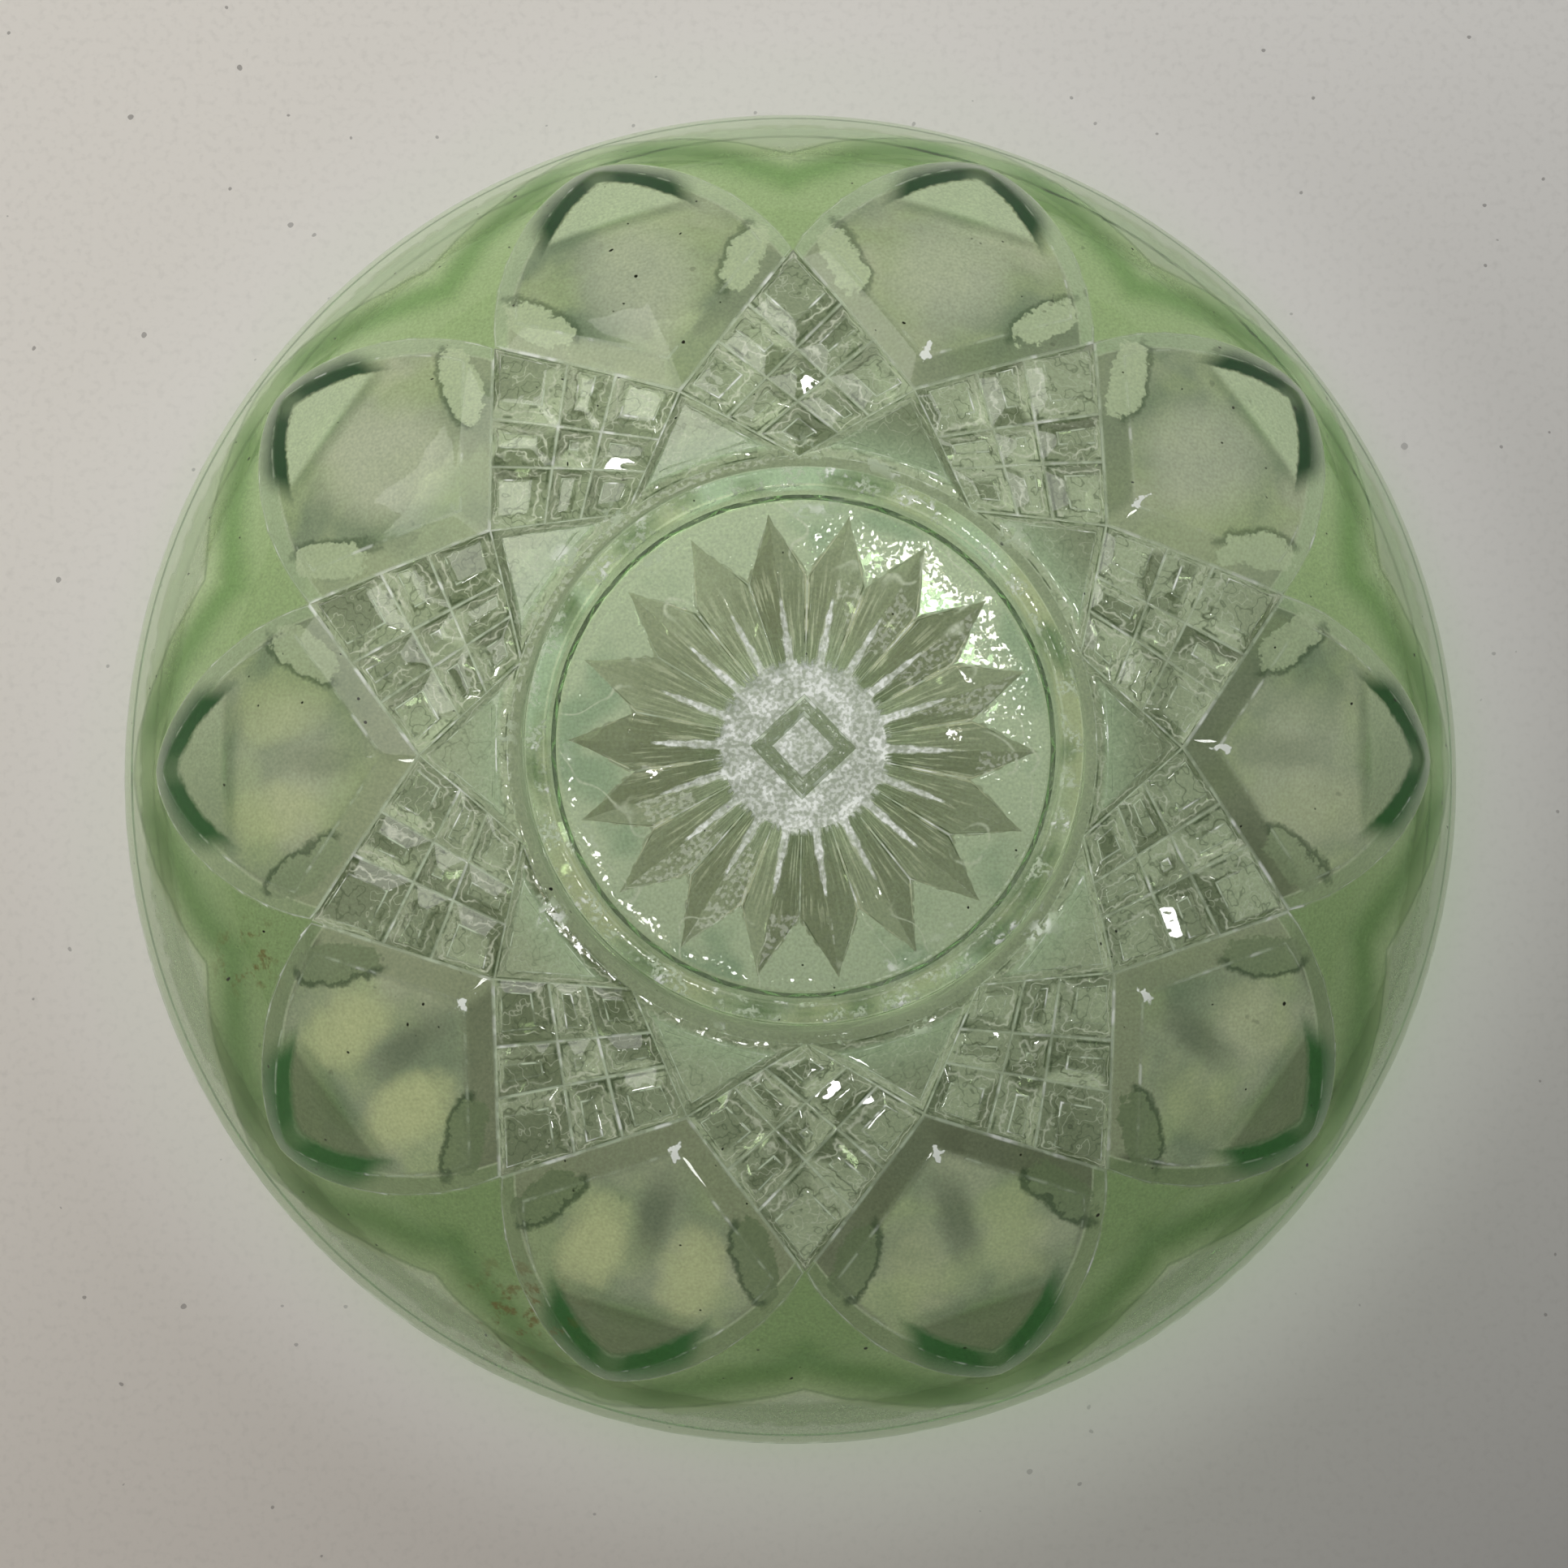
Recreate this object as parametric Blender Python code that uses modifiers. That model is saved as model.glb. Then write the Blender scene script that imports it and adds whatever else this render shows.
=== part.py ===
"""Pressed uranium-glass dish: one piece of glass, ten arched petals over a rayed foot.

The dish stands upright. Its origin is the centre of the foot ring's resting plane,
+Z runs up through the open bowl, and a petal is centred on +X. Units are metres.
"""

import math

import bmesh
import bpy
from mathutils import Vector

NAME = "dish"
COLLECTION = "uranium_glass_dish"
TURN = 2 * math.pi
STEPS = 60

# Bowl
RIM_RADIUS = 0.0600
HEIGHT = 0.0380
RIM_THICKNESS = 0.0032
RIM_ARC_STEPS = 4
WALL_STEPS = 9

# Outer wall: a cubic curve from the foot's root to the rim
ROOT_RADIUS = 0.0240
ROOT_HEIGHT = 0.0056
ROOT_SLOPE = math.radians(18)
ROOT_REACH = 0.0173
RIM_SLOPE = math.radians(80)
RIM_REACH = 0.0132

# Inner wall: a cubic curve from the bowl's floor to the rim
FLOOR_RADIUS = 0.0190
FLOOR_HEIGHT = 0.0102
FLOOR_REACH = 0.0185
INNER_RIM_REACH = 0.0125

# Foot ring and the recessed base inside it
FOOT_OUTER = 0.0230
FOOT_INNER = 0.0211
FOOT_ROUNDING = 0.0003
RECESS_DEPTH = 0.0026
RECESS_RADIUS = 0.0204

# Relief: petals, diamond panels and the ten-pointed star around the foot
PETALS = 10
PETAL_HALF_ANGLE = math.pi / PETALS
PETAL_INNER_RADIUS = 0.0324
PETAL_CORNER_RADIUS = 0.0442
PETAL_TIP_RADIUS = 0.0564
ARCH_POWER = 1.1
ARCH_ROUNDNESS = 0.65
ARCH_STEPS = 7
PETAL_HEIGHT = 0.0010
PETAL_CROWN = 0.0004
PETAL_SIDE_BEVEL = 0.0025
PETAL_ARCH_BEVEL = 0.0024
PETAL_RINGS = 3
DIAMOND_INNER_RADIUS = 0.0248
DIAMOND_CUTS = (0.0, 0.40, 0.66, 1.0)
BLOCK_HEIGHT = 0.0008
BLOCK_EDGE_BEVEL = 0.0009
BLOCK_GROOVE_BEVEL = 0.0015
STAR_HEIGHT = 0.0007
STAR_BEVEL = 0.0016
STAR_BASE_STEPS = 4
GROOVE_LIFT = 0.0001
SKIRT_DEPTH = 0.0006
CORE_DEPTH = 0.0014

# Rayed base
RAYS = 18
RAY_TURN = math.radians(2)
RAY_TIP_RADIUS = 0.0197
RAY_WIDE_RADIUS = 0.0143
RAY_HALF_ANGLE = math.radians(10.3)
RAY_INNER_RADIUS = 0.0055
RAY_DEPTH = 0.0009
HUB_RADIUS = 0.0071
HUB_DEPTH = 0.0010
HUB_STEPS = 36
LOZENGE_RADIUS = 0.0044
LOZENGE_TOP_RADIUS = 0.0036
LOZENGE_HEIGHT = 0.0005
CUT_CLEARANCE = 0.0002

GLASS_COLOUR = (0.50, 0.72, 0.38, 1.0)
GLASS_ROUGHNESS = 0.06
GLASS_IOR = 1.52
MERGE_DISTANCE = 0.00001
SHARP_ANGLE = math.radians(12)


def remove_startup_objects():
    for item in list(bpy.data.objects):
        bpy.data.objects.remove(item, do_unlink=True)


def new_collection(name):
    collection = bpy.data.collections.new(name)
    bpy.context.scene.collection.children.link(collection)
    return collection


def glass_material():
    material = bpy.data.materials.new("uranium_glass")
    material.use_nodes = True
    shader = material.node_tree.nodes["Principled BSDF"]
    shader.inputs["Base Color"].default_value = GLASS_COLOUR
    shader.inputs["Roughness"].default_value = GLASS_ROUGHNESS
    shader.inputs["Metallic"].default_value = 0.0
    shader.inputs["IOR"].default_value = GLASS_IOR
    shader.inputs["Transmission Weight"].default_value = 0.9
    return material


def new_object(name, mesh, collection, material=None):
    item = bpy.data.objects.new(name, mesh)
    collection.objects.link(item)
    if material:
        mesh.materials.append(material)
    return item


def cubic(points, t):
    """Point on a cubic Bezier curve in the (radius, height) plane."""
    a, b, c, d = points
    s = 1 - t
    return s ** 3 * a + 3 * s * s * t * b + 3 * s * t * t * c + t ** 3 * d


def cubic_tangent(points, t):
    a, b, c, d = points
    s = 1 - t
    return (3 * s * s * (b - a) + 6 * s * t * (c - b) + 3 * t * t * (d - c)).normalized()


def outer_wall():
    """Control points of the outer wall, foot root to rim."""
    root = Vector((ROOT_RADIUS, ROOT_HEIGHT))
    rim = Vector((RIM_RADIUS, HEIGHT - RIM_THICKNESS / 2))
    root_handle = root + ROOT_REACH * Vector((math.cos(ROOT_SLOPE), math.sin(ROOT_SLOPE)))
    rim_handle = rim - RIM_REACH * Vector((math.cos(RIM_SLOPE), math.sin(RIM_SLOPE)))
    return root, root_handle, rim_handle, rim


def inner_wall():
    """Control points of the inner wall, bowl floor to rim."""
    floor = Vector((FLOOR_RADIUS, FLOOR_HEIGHT))
    rim = Vector((RIM_RADIUS - RIM_THICKNESS, HEIGHT - RIM_THICKNESS / 2))
    floor_handle = floor + Vector((FLOOR_REACH, 0))
    rim_handle = rim - INNER_RIM_REACH * Vector((math.cos(RIM_SLOPE), math.sin(RIM_SLOPE)))
    return floor, floor_handle, rim_handle, rim


OUTER = outer_wall()
INNER = inner_wall()


def rim_arc():
    """Half circle over the rim, from the inner wall to the outer wall."""
    radius = RIM_THICKNESS / 2
    centre = Vector((RIM_RADIUS - radius, HEIGHT - radius))
    angles = [math.pi * (1 - k / RIM_ARC_STEPS) for k in range(1, RIM_ARC_STEPS)]
    return [centre + radius * Vector((math.cos(a), math.sin(a))) for a in angles]


def foot_profile():
    """Foot ring and recess, from the outer wall's root in to the axis."""
    r = FOOT_ROUNDING
    recess = RECESS_DEPTH
    return [
        Vector((FOOT_OUTER + r, ROOT_HEIGHT - 2 * r)),
        Vector((FOOT_OUTER, r)),
        Vector((FOOT_OUTER - r, 0)),
        Vector((FOOT_INNER + r, 0)),
        Vector((FOOT_INNER, r)),
        Vector((RECESS_RADIUS, recess - r)),
        Vector((RECESS_RADIUS - r, recess)),
        Vector((0, recess)),
    ]


def bowl_profile():
    """Open line from the floor's centre, up the inside, over the rim and down the outside."""
    parts = [k / WALL_STEPS for k in range(WALL_STEPS + 1)]
    inside = [cubic(INNER, t) for t in parts]
    outside = [cubic(OUTER, 1 - t) for t in parts]
    return [Vector((0, FLOOR_HEIGHT))] + inside + rim_arc() + outside + foot_profile()


def turned(name, profile, collection, material):
    """A closed solid of revolution around Z."""
    bm = bmesh.new()
    verts = [bm.verts.new((p.x, 0, p.y)) for p in profile]
    for a, b in zip(verts, verts[1:]):
        bm.edges.new((a, b))
    mesh = bpy.data.meshes.new(name)
    bm.to_mesh(mesh)
    bm.free()
    item = new_object(name, mesh, collection, material)
    screw = item.modifiers.new("turn", "SCREW")
    screw.angle = TURN
    screw.steps = STEPS
    screw.render_steps = STEPS
    screw.use_merge_vertices = True
    screw.merge_threshold = MERGE_DISTANCE
    screw.use_smooth_shade = True
    return item


def wall_parameter(radius):
    """Parameter of the outer wall where it has this radius."""
    low, high = 0.0, 1.0
    for _ in range(40):
        middle = (low + high) / 2
        if cubic(OUTER, middle).x < radius:
            low = middle
        else:
            high = middle
    return (low + high) / 2


def on_wall(x, y):
    """Point and outward normal of the outer wall above the plan position (x, y)."""
    radius = math.hypot(x, y)
    t = wall_parameter(radius)
    height = cubic(OUTER, t).y
    tangent = cubic_tangent(OUTER, t)
    out = Vector((x / radius, y / radius, 0))
    normal = Vector((out.x * tangent.y, out.y * tangent.y, -tangent.x))
    return Vector((x, y, height)), normal


def polar(radius, angle):
    return Vector((radius * math.cos(angle), radius * math.sin(angle)))


def inset(points, widths):
    """Move each outline point inwards along the wall; widths[i] belongs to edge i to i+1."""
    count = len(points)
    moved = []
    for i in range(count):
        here, normal = on_wall(*points[i])
        after, _ = on_wall(*points[(i + 1) % count])
        before, _ = on_wall(*points[i - 1])
        next_in = normal.cross((after - here).normalized())
        last_in = normal.cross((here - before).normalized())
        w_last, w_next = widths[i - 1], widths[i]
        c = last_in.dot(next_in)
        if c > 0.95:
            shift = (last_in + next_in).normalized() * (w_last + w_next) / 2
        else:
            det = 1 - c * c
            shift = last_in * ((w_last - c * w_next) / det) + next_in * ((w_next - c * w_last) / det)
        moved.append(Vector((shift.x, shift.y)))
    return moved


def raised(plan, height):
    """Point that stands this far off the outer wall."""
    point, normal = on_wall(*plan)
    return point + normal * height


def loft(bm, rings, bottom, top):
    """Closed body through rings of equal count, closed by a point at each end."""
    layers = [[bm.verts.new(p) for p in ring] for ring in rings]
    count = len(layers[0])
    low = bm.verts.new(bottom)
    high = bm.verts.new(top)
    for i in range(count):
        j = (i + 1) % count
        bm.faces.new((low, layers[0][j], layers[0][i]))
        bm.faces.new((high, layers[-1][i], layers[-1][j]))
        for a, b in zip(layers, layers[1:]):
            bm.faces.new((a[i], a[j], b[j], b[i]))


def add_pad(bm, outline, widths, height, crown=0.0, rings=1):
    """Raised pad whose sloped sides run down through the outline and into the wall."""
    shifts = inset(outline, widths)
    depth = (SKIRT_DEPTH + GROOVE_LIFT) / (height - GROOVE_LIFT)
    skirt = [p - s * depth for p, s in zip(outline, shifts)]
    edge = [p + s for p, s in zip(outline, shifts)]
    centre = sum(edge, Vector((0, 0))) / len(edge)
    layers = [[raised(p, -SKIRT_DEPTH) for p in skirt]]
    for k in range(rings):
        keep = 1 - k / rings
        lift = height + crown * (1 - keep * keep)
        layers.append([raised(centre.lerp(p, keep), lift) for p in edge])
    bottom = raised(centre, -CORE_DEPTH)
    loft(bm, layers, bottom, raised(centre, height + crown))


def mix(corners, u, v):
    """Bilinear position in a four-sided outline."""
    a, b, c, d = corners
    return (1 - u) * (1 - v) * a + u * (1 - v) * b + u * v * c + (1 - u) * v * d


def arch_half_angle(radius):
    """Half width, as an angle, of a petal's pointed outer end at this radius."""
    along = (radius - PETAL_CORNER_RADIUS) / (PETAL_TIP_RADIUS - PETAL_CORNER_RADIUS)
    return PETAL_HALF_ANGLE * max(0.0, 1 - along ** ARCH_POWER) ** ARCH_ROUNDNESS


def petal_side(axis):
    """Half of a petal's outline, from its inner point round to just before its tip."""
    inner = polar(PETAL_INNER_RADIUS, axis)
    corner = polar(PETAL_CORNER_RADIUS, axis + PETAL_HALF_ANGLE)
    straight = [corner.lerp(inner, cut) for cut in reversed(DIAMOND_CUTS[1:])]
    arch = []
    for k in range(ARCH_STEPS):
        along = math.sin(math.pi / 2 * k / ARCH_STEPS)
        radius = PETAL_CORNER_RADIUS + along * (PETAL_TIP_RADIUS - PETAL_CORNER_RADIUS)
        arch.append(polar(radius, axis + arch_half_angle(radius)))
    return straight, arch


def mirrored(points, axis):
    """The points reflected in the vertical plane at this angle."""
    return [polar(p.length, 2 * axis - math.atan2(p.y, p.x)) for p in points]


def add_petal(bm, axis):
    straight, arch = petal_side(axis)
    tip = polar(PETAL_TIP_RADIUS, axis)
    left = straight + arch
    right = mirrored(left[1:], axis)
    outline = left + [tip] + right[::-1]
    sides = [PETAL_SIDE_BEVEL] * len(straight)
    arches = [PETAL_ARCH_BEVEL] * (2 * len(arch))
    widths = sides + arches + sides
    add_pad(bm, outline, widths, PETAL_HEIGHT, PETAL_CROWN, PETAL_RINGS)


def add_diamond(bm, axis):
    """Three by three blocks; the blocks between the grooves come to a ridge or a point."""
    corners = (
        polar(PETAL_CORNER_RADIUS, axis),
        polar(PETAL_INNER_RADIUS, axis + PETAL_HALF_ANGLE),
        polar(DIAMOND_INNER_RADIUS, axis),
        polar(PETAL_INNER_RADIUS, axis - PETAL_HALF_ANGLE),
    )
    for u0, u1 in zip(DIAMOND_CUTS, DIAMOND_CUTS[1:]):
        for v0, v1 in zip(DIAMOND_CUTS, DIAMOND_CUTS[1:]):
            block = [mix(corners, u, v) for u, v in ((u0, v0), (u0, v1), (u1, v1), (u1, v0))]
            on_edge = (u0 == 0, v1 == 1, u1 == 1, v0 == 0)
            widths = [BLOCK_EDGE_BEVEL if outer else BLOCK_GROOVE_BEVEL for outer in on_edge]
            add_pad(bm, block, widths, BLOCK_HEIGHT)


def add_star_point(bm, axis):
    apex = polar(PETAL_INNER_RADIUS, axis)
    base = []
    for k in range(STAR_BASE_STEPS + 1):
        angle = axis + PETAL_HALF_ANGLE * (1 - 2 * k / STAR_BASE_STEPS)
        base.append(polar(DIAMOND_INNER_RADIUS, angle))
    outline = [apex] + base[::-1]
    add_pad(bm, outline, [STAR_BEVEL] * len(outline), STAR_HEIGHT)


def relief(collection):
    bm = bmesh.new()
    for k in range(PETALS):
        axis = k * TURN / PETALS
        add_petal(bm, axis)
        add_diamond(bm, axis + PETAL_HALF_ANGLE)
        add_star_point(bm, axis)
    mesh = bpy.data.meshes.new("relief")
    bm.to_mesh(mesh)
    bm.free()
    return new_object("relief", mesh, collection)


def ray_cutters(collection):
    """Wedges that cut one ray each into the recessed base."""
    bm = bmesh.new()
    face = RECESS_DEPTH - CUT_CLEARANCE
    ridge = RECESS_DEPTH + RAY_DEPTH
    for k in range(RAYS):
        axis = RAY_TURN + k * TURN / RAYS
        plan = [
            (polar(RAY_TIP_RADIUS, axis), face),
            (polar(RAY_WIDE_RADIUS, axis + RAY_HALF_ANGLE), face),
            (polar(RAY_WIDE_RADIUS, axis - RAY_HALF_ANGLE), face),
            (polar(RAY_INNER_RADIUS, axis + RAY_HALF_ANGLE), face),
            (polar(RAY_INNER_RADIUS, axis - RAY_HALF_ANGLE), face),
            (polar(RAY_WIDE_RADIUS, axis), ridge),
            (polar(RAY_INNER_RADIUS, axis), ridge),
        ]
        verts = [bm.verts.new((p.x, p.y, z)) for p, z in plan]
        bmesh.ops.convex_hull(bm, input=verts)
    mesh = bpy.data.meshes.new("ray_cutters")
    bm.to_mesh(mesh)
    bm.free()
    return new_object("ray_cutters", mesh, collection)


def cone(name, segments, radii, low, high, collection):
    """Upright frustum between two heights; radii are those of its low and high ends."""
    bm = bmesh.new()
    bmesh.ops.create_cone(
        bm, cap_ends=True, segments=segments, radius1=radii[0], radius2=radii[1], depth=high - low
    )
    bmesh.ops.translate(bm, verts=bm.verts, vec=(0, 0, (low + high) / 2))
    mesh = bpy.data.meshes.new(name)
    bm.to_mesh(mesh)
    bm.free()
    return new_object(name, mesh, collection)


def hub_cutter(collection):
    """Shallow round pocket where the rays run together."""
    low = RECESS_DEPTH - CUT_CLEARANCE
    high = RECESS_DEPTH + HUB_DEPTH
    return cone("hub_cutter", HUB_STEPS, (HUB_RADIUS, HUB_RADIUS), low, high, collection)


def lozenge(collection):
    """Plain raised lozenge in the middle of the hub."""
    low = RECESS_DEPTH + HUB_DEPTH - LOZENGE_HEIGHT
    high = RECESS_DEPTH + HUB_DEPTH + CUT_CLEARANCE
    return cone("lozenge", 4, (LOZENGE_TOP_RADIUS, LOZENGE_RADIUS), low, high, collection)


def combine(target, other, operation):
    """Boolean of a helper shape, which is then left out of the part."""
    other.hide_render = True
    other.display_type = "WIRE"
    boolean = target.modifiers.new(other.name, "BOOLEAN")
    boolean.operation = operation
    boolean.solver = "EXACT"
    boolean.use_self = True
    boolean.object = other


def main():
    remove_startup_objects()
    parts = new_collection(COLLECTION)
    cutters = new_collection("cutters")
    dish = turned(NAME, bowl_profile(), parts, glass_material())
    combine(dish, relief(cutters), "UNION")
    combine(dish, ray_cutters(cutters), "DIFFERENCE")
    combine(dish, hub_cutter(cutters), "DIFFERENCE")
    combine(dish, lozenge(cutters), "UNION")
    dish.data.set_sharp_from_angle(angle=SHARP_ANGLE)


main()
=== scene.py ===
"""Looks of the pressed uranium-glass dish: fine glass mesh, glass shading, and a plain studio."""

import math
from collections import namedtuple

import bmesh
import bpy
import numpy as np
from mathutils import Matrix, Vector


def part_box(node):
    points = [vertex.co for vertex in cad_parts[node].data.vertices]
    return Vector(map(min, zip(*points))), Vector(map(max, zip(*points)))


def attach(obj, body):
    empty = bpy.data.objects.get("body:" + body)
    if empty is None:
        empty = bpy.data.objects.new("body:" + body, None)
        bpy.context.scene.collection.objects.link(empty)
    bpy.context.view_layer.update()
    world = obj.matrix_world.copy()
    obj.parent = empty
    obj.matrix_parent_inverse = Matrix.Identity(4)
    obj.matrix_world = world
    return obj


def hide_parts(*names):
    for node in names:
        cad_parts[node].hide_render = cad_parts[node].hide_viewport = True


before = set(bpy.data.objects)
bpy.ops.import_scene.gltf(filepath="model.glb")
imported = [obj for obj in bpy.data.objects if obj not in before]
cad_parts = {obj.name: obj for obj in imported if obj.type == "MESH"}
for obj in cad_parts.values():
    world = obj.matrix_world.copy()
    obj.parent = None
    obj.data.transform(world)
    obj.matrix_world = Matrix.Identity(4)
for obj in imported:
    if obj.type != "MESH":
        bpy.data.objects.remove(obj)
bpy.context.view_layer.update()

MM = 0.001
NODE_LOW, NODE_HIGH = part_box("dish")
RIM_RADIUS = (NODE_HIGH.x - NODE_LOW.x) / 2
HEIGHT = NODE_HIGH.z - NODE_LOW.z

# Bowl section, in metres: each wall is a cubic curve between two ends, with a slope and a reach at each
RIM_THICKNESS = 3.2 * MM
ROOT_RADIUS = 24.0 * MM
ROOT_HEIGHT = 5.6 * MM
ROOT_SLOPE = math.radians(18)
ROOT_REACH = 17.3 * MM
RIM_SLOPE = math.radians(80)
RIM_REACH = 13.2 * MM
FLOOR_RADIUS = 19.0 * MM
FLOOR_MIDDLE = 0.6 * MM
FLOOR_HEIGHT = 10.2 * MM
FLOOR_REACH = 18.5 * MM
INNER_RIM_REACH = 12.5 * MM
FOOT_OUTER = 23.3 * MM
FOOT_INNER = 21.5 * MM
FOOT_ROUND = 0.45 * MM
RECESS_DEPTH = 2.6 * MM
RECESS_RADIUS = 20.7 * MM
RECESS_ROUND = 0.35 * MM
RECESS_FLAT = RECESS_RADIUS - 0.3 * MM

# Relief
PETALS = 10
HALF = math.pi / PETALS
PETAL_INNER = 32.4 * MM
PETAL_CORNER = 44.2 * MM
PETAL_TIP = 56.4 * MM
ARCH_POWER = 1.1
ARCH_ROUNDNESS = 0.65
PETAL_HEIGHT = 0.7 * MM
PETAL_CROWN = 0.5 * MM
SIDE_BEVEL = 2.5 * MM
ARCH_BEVEL = 2.4 * MM
DIAMOND_INNER = 24.8 * MM
CUTS = (0.0, 0.40, 0.66, 1.0)
CUT_STEPS = (6, 4, 5)
BLOCK_HEIGHT = 0.75 * MM
BLOCK_EDGE = 0.9 * MM
BLOCK_GROOVE = 1.5 * MM
STAR_HEIGHT = 0.7 * MM
STAR_BEVEL = 1.6 * MM

# Shares of a bevel's width at which a raised cell has rings; its shoulder is near 1
PETAL_LEVELS = (0, 0.06, 0.14, 0.35, 0.6, 0.8, 0.9, 0.97, 1.04, 1.12, 1.22, 1.35)
BLOCK_LEVELS = (0, 0.08, 0.2, 0.45, 0.7, 0.85, 0.95, 1.05, 1.2)
PETAL_FILL = 10
STAR_FILL = 5
BLOCK_FILL = 2

# Rayed base
RAYS = 18
RAY_HALF = math.pi / RAYS
RAY_TURN = math.radians(2)
RAY_TIP = 19.7 * MM
RAY_NOTCH = 14.3 * MM
RAY_DEPTH = 0.9 * MM
RAY_RUN_IN = 5.0 * MM
LEAF_ROWS = 10
RIDGE_ROWS = 14
FLAT_START = 13.0 * MM
FLAT_SHARE = 0.28
VALLEY_SOFTNESS = 0.03
RIDGE_SHARE = 0.9
RECESS_SHARES = (0, 0.08, 0.3, 0.65, 1.0)
HUB_RADIUS = 7.1 * MM
HUB_WALL = 0.25 * MM
HUB_RINGS = (6.0 * MM, 5.0 * MM)
LOZENGE_HEIGHT = 0.5 * MM
# The lozenge's lines from the outside in: reach in mm, raised or not, and edge of a bevel or not
LOZENGE = (
    (4.5, False, False),
    (4.4, False, True),
    (4.05, True, True),
    (3.95, True, False),
    (3.1, True, False),
    (3.0, True, True),
    (2.65, False, True),
    (2.55, False, False),
    (1.6, False, False),
    (0.8, False, False),
)
LOZENGE_FROST = 0.25

AROUND = 360
MERGE = 0.002 * MM
RANDOM = np.random.default_rng(11)

# What the amounts on the points mean for the shading
LEVEL = 2.0
EDGE = 1.0
MID_TONE = 0.5
FLOOR_TONE = 1.0
HUB_TONE = 0.2
STAR_SHARE = 0.7


# ---- section curves

def cubic(points, t):
    a, b, c, d = (np.array(p) for p in points)
    t = np.asarray(t)[..., None]
    s = 1 - t
    return s ** 3 * a + 3 * s * s * t * b + 3 * s * t * t * c + t ** 3 * d


def heading(angle, length):
    return np.array((math.cos(angle), math.sin(angle))) * length


ROOT = np.array((ROOT_RADIUS, ROOT_HEIGHT))
RIM = np.array((RIM_RADIUS, HEIGHT - RIM_THICKNESS / 2))
OUTER = (ROOT, ROOT + heading(ROOT_SLOPE, ROOT_REACH), RIM - heading(RIM_SLOPE, RIM_REACH), RIM)
FLOOR = np.array((FLOOR_RADIUS, FLOOR_HEIGHT))
INNER_RIM = np.array((RIM_RADIUS - RIM_THICKNESS, HEIGHT - RIM_THICKNESS / 2))
INNER = (FLOOR, FLOOR + (FLOOR_REACH, 0), INNER_RIM - heading(RIM_SLOPE, INNER_RIM_REACH), INNER_RIM)

WALL_T = np.linspace(0, 1, 801)
WALL = cubic(OUTER, WALL_T)
WALL_RUN = np.gradient(WALL, axis=0)
WALL_RUN /= np.linalg.norm(WALL_RUN, axis=1)[:, None]


def on_wall(plan, lift=0.0):
    """Points of the outer wall above plan positions (n, 2), standing off it by lift, and its normals."""
    plan = np.asarray(plan, float)
    radius = np.hypot(plan[..., 0], plan[..., 1])
    z = np.interp(radius, WALL[:, 0], WALL[:, 1])
    run_r = np.interp(radius, WALL[:, 0], WALL_RUN[:, 0])
    run_z = np.interp(radius, WALL[:, 0], WALL_RUN[:, 1])
    out = plan / radius[..., None]
    point = np.concatenate([plan, z[..., None]], axis=-1)
    normal = np.concatenate([out * run_z[..., None], -run_r[..., None]], axis=-1)
    return point + normal * np.asarray(lift)[..., None], normal


def polar(radius, angle):
    radius, angle = np.broadcast_arrays(radius, angle)
    return np.stack([radius * np.cos(angle), radius * np.sin(angle)], axis=-1)


# ---- mesh gathering

class Glass:
    """Gathers patches of points and faces, each point with the amounts its shading needs."""

    AMOUNTS = ("outside", "rise", "plain", "frost", "tone", "petal", "block")

    def __init__(self):
        self.points, self.faces, self.amounts, self.count = [], [], [], 0

    def add(self, points, faces, **amounts):
        shape = np.shape(points)[:-1]
        columns = [np.broadcast_to(amounts.get(name, 0.0), shape).reshape(-1) for name in self.AMOUNTS]
        self.amounts.append(np.stack(columns, axis=-1))
        points = np.asarray(points, float).reshape(-1, 3)
        self.points.append(points)
        self.faces += [tuple(int(i) + self.count for i in f) for f in faces]
        self.count += len(points)

    def grid(self, points, closed=False, **amounts):
        """Quads over an array of rows; closed joins each row's end to its start."""
        rows, cols = points.shape[:2]
        faces = []
        for i in range(rows - 1):
            for j in range(cols if closed else cols - 1):
                k = (j + 1) % cols
                faces.append((i * cols + j, i * cols + k, (i + 1) * cols + k, (i + 1) * cols + j))
        self.add(points, faces, **amounts)

    def fan(self, ring, tip, **amounts):
        count = len(ring)
        faces = [(j, (j + 1) % count, count) for j in range(count)]
        self.add(np.vstack([ring, np.asarray(tip)[None]]), faces, **amounts)


def spin(points, angle):
    c, s = math.cos(angle), math.sin(angle)
    turn = np.array(((c, s, 0), (-s, c, 0), (0, 0, 1)))
    return points @ turn


def ring_rows(section):
    """Rings round the axis through the points of a section."""
    angles = np.arange(AROUND) * 2 * math.pi / AROUND
    section = np.asarray(section)
    rows = polar(section[:, 0:1], angles[None])
    height = np.broadcast_to(section[:, 1][:, None, None], rows.shape[:2] + (1,))
    return np.concatenate([rows, height], axis=-1)


# ---- relief

def ramp(t, end, soft=0.10):
    """Straight slope from 0 to 1, with a rounded shoulder that is level by t = end."""
    def shoulder(x):
        return 0.5 * (x + 1 - math.sqrt((x - 1) ** 2 + soft ** 2))

    return (shoulder(t) - shoulder(0)) / (shoulder(end) - shoulder(0))


def side_frame(points):
    """Unit tangent and inward direction along the wall at each point of a clockwise side."""
    here, normal = on_wall(points)
    along = np.gradient(here, axis=0)
    along /= np.linalg.norm(along, axis=1)[:, None]
    return along, np.cross(normal, along)


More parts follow.
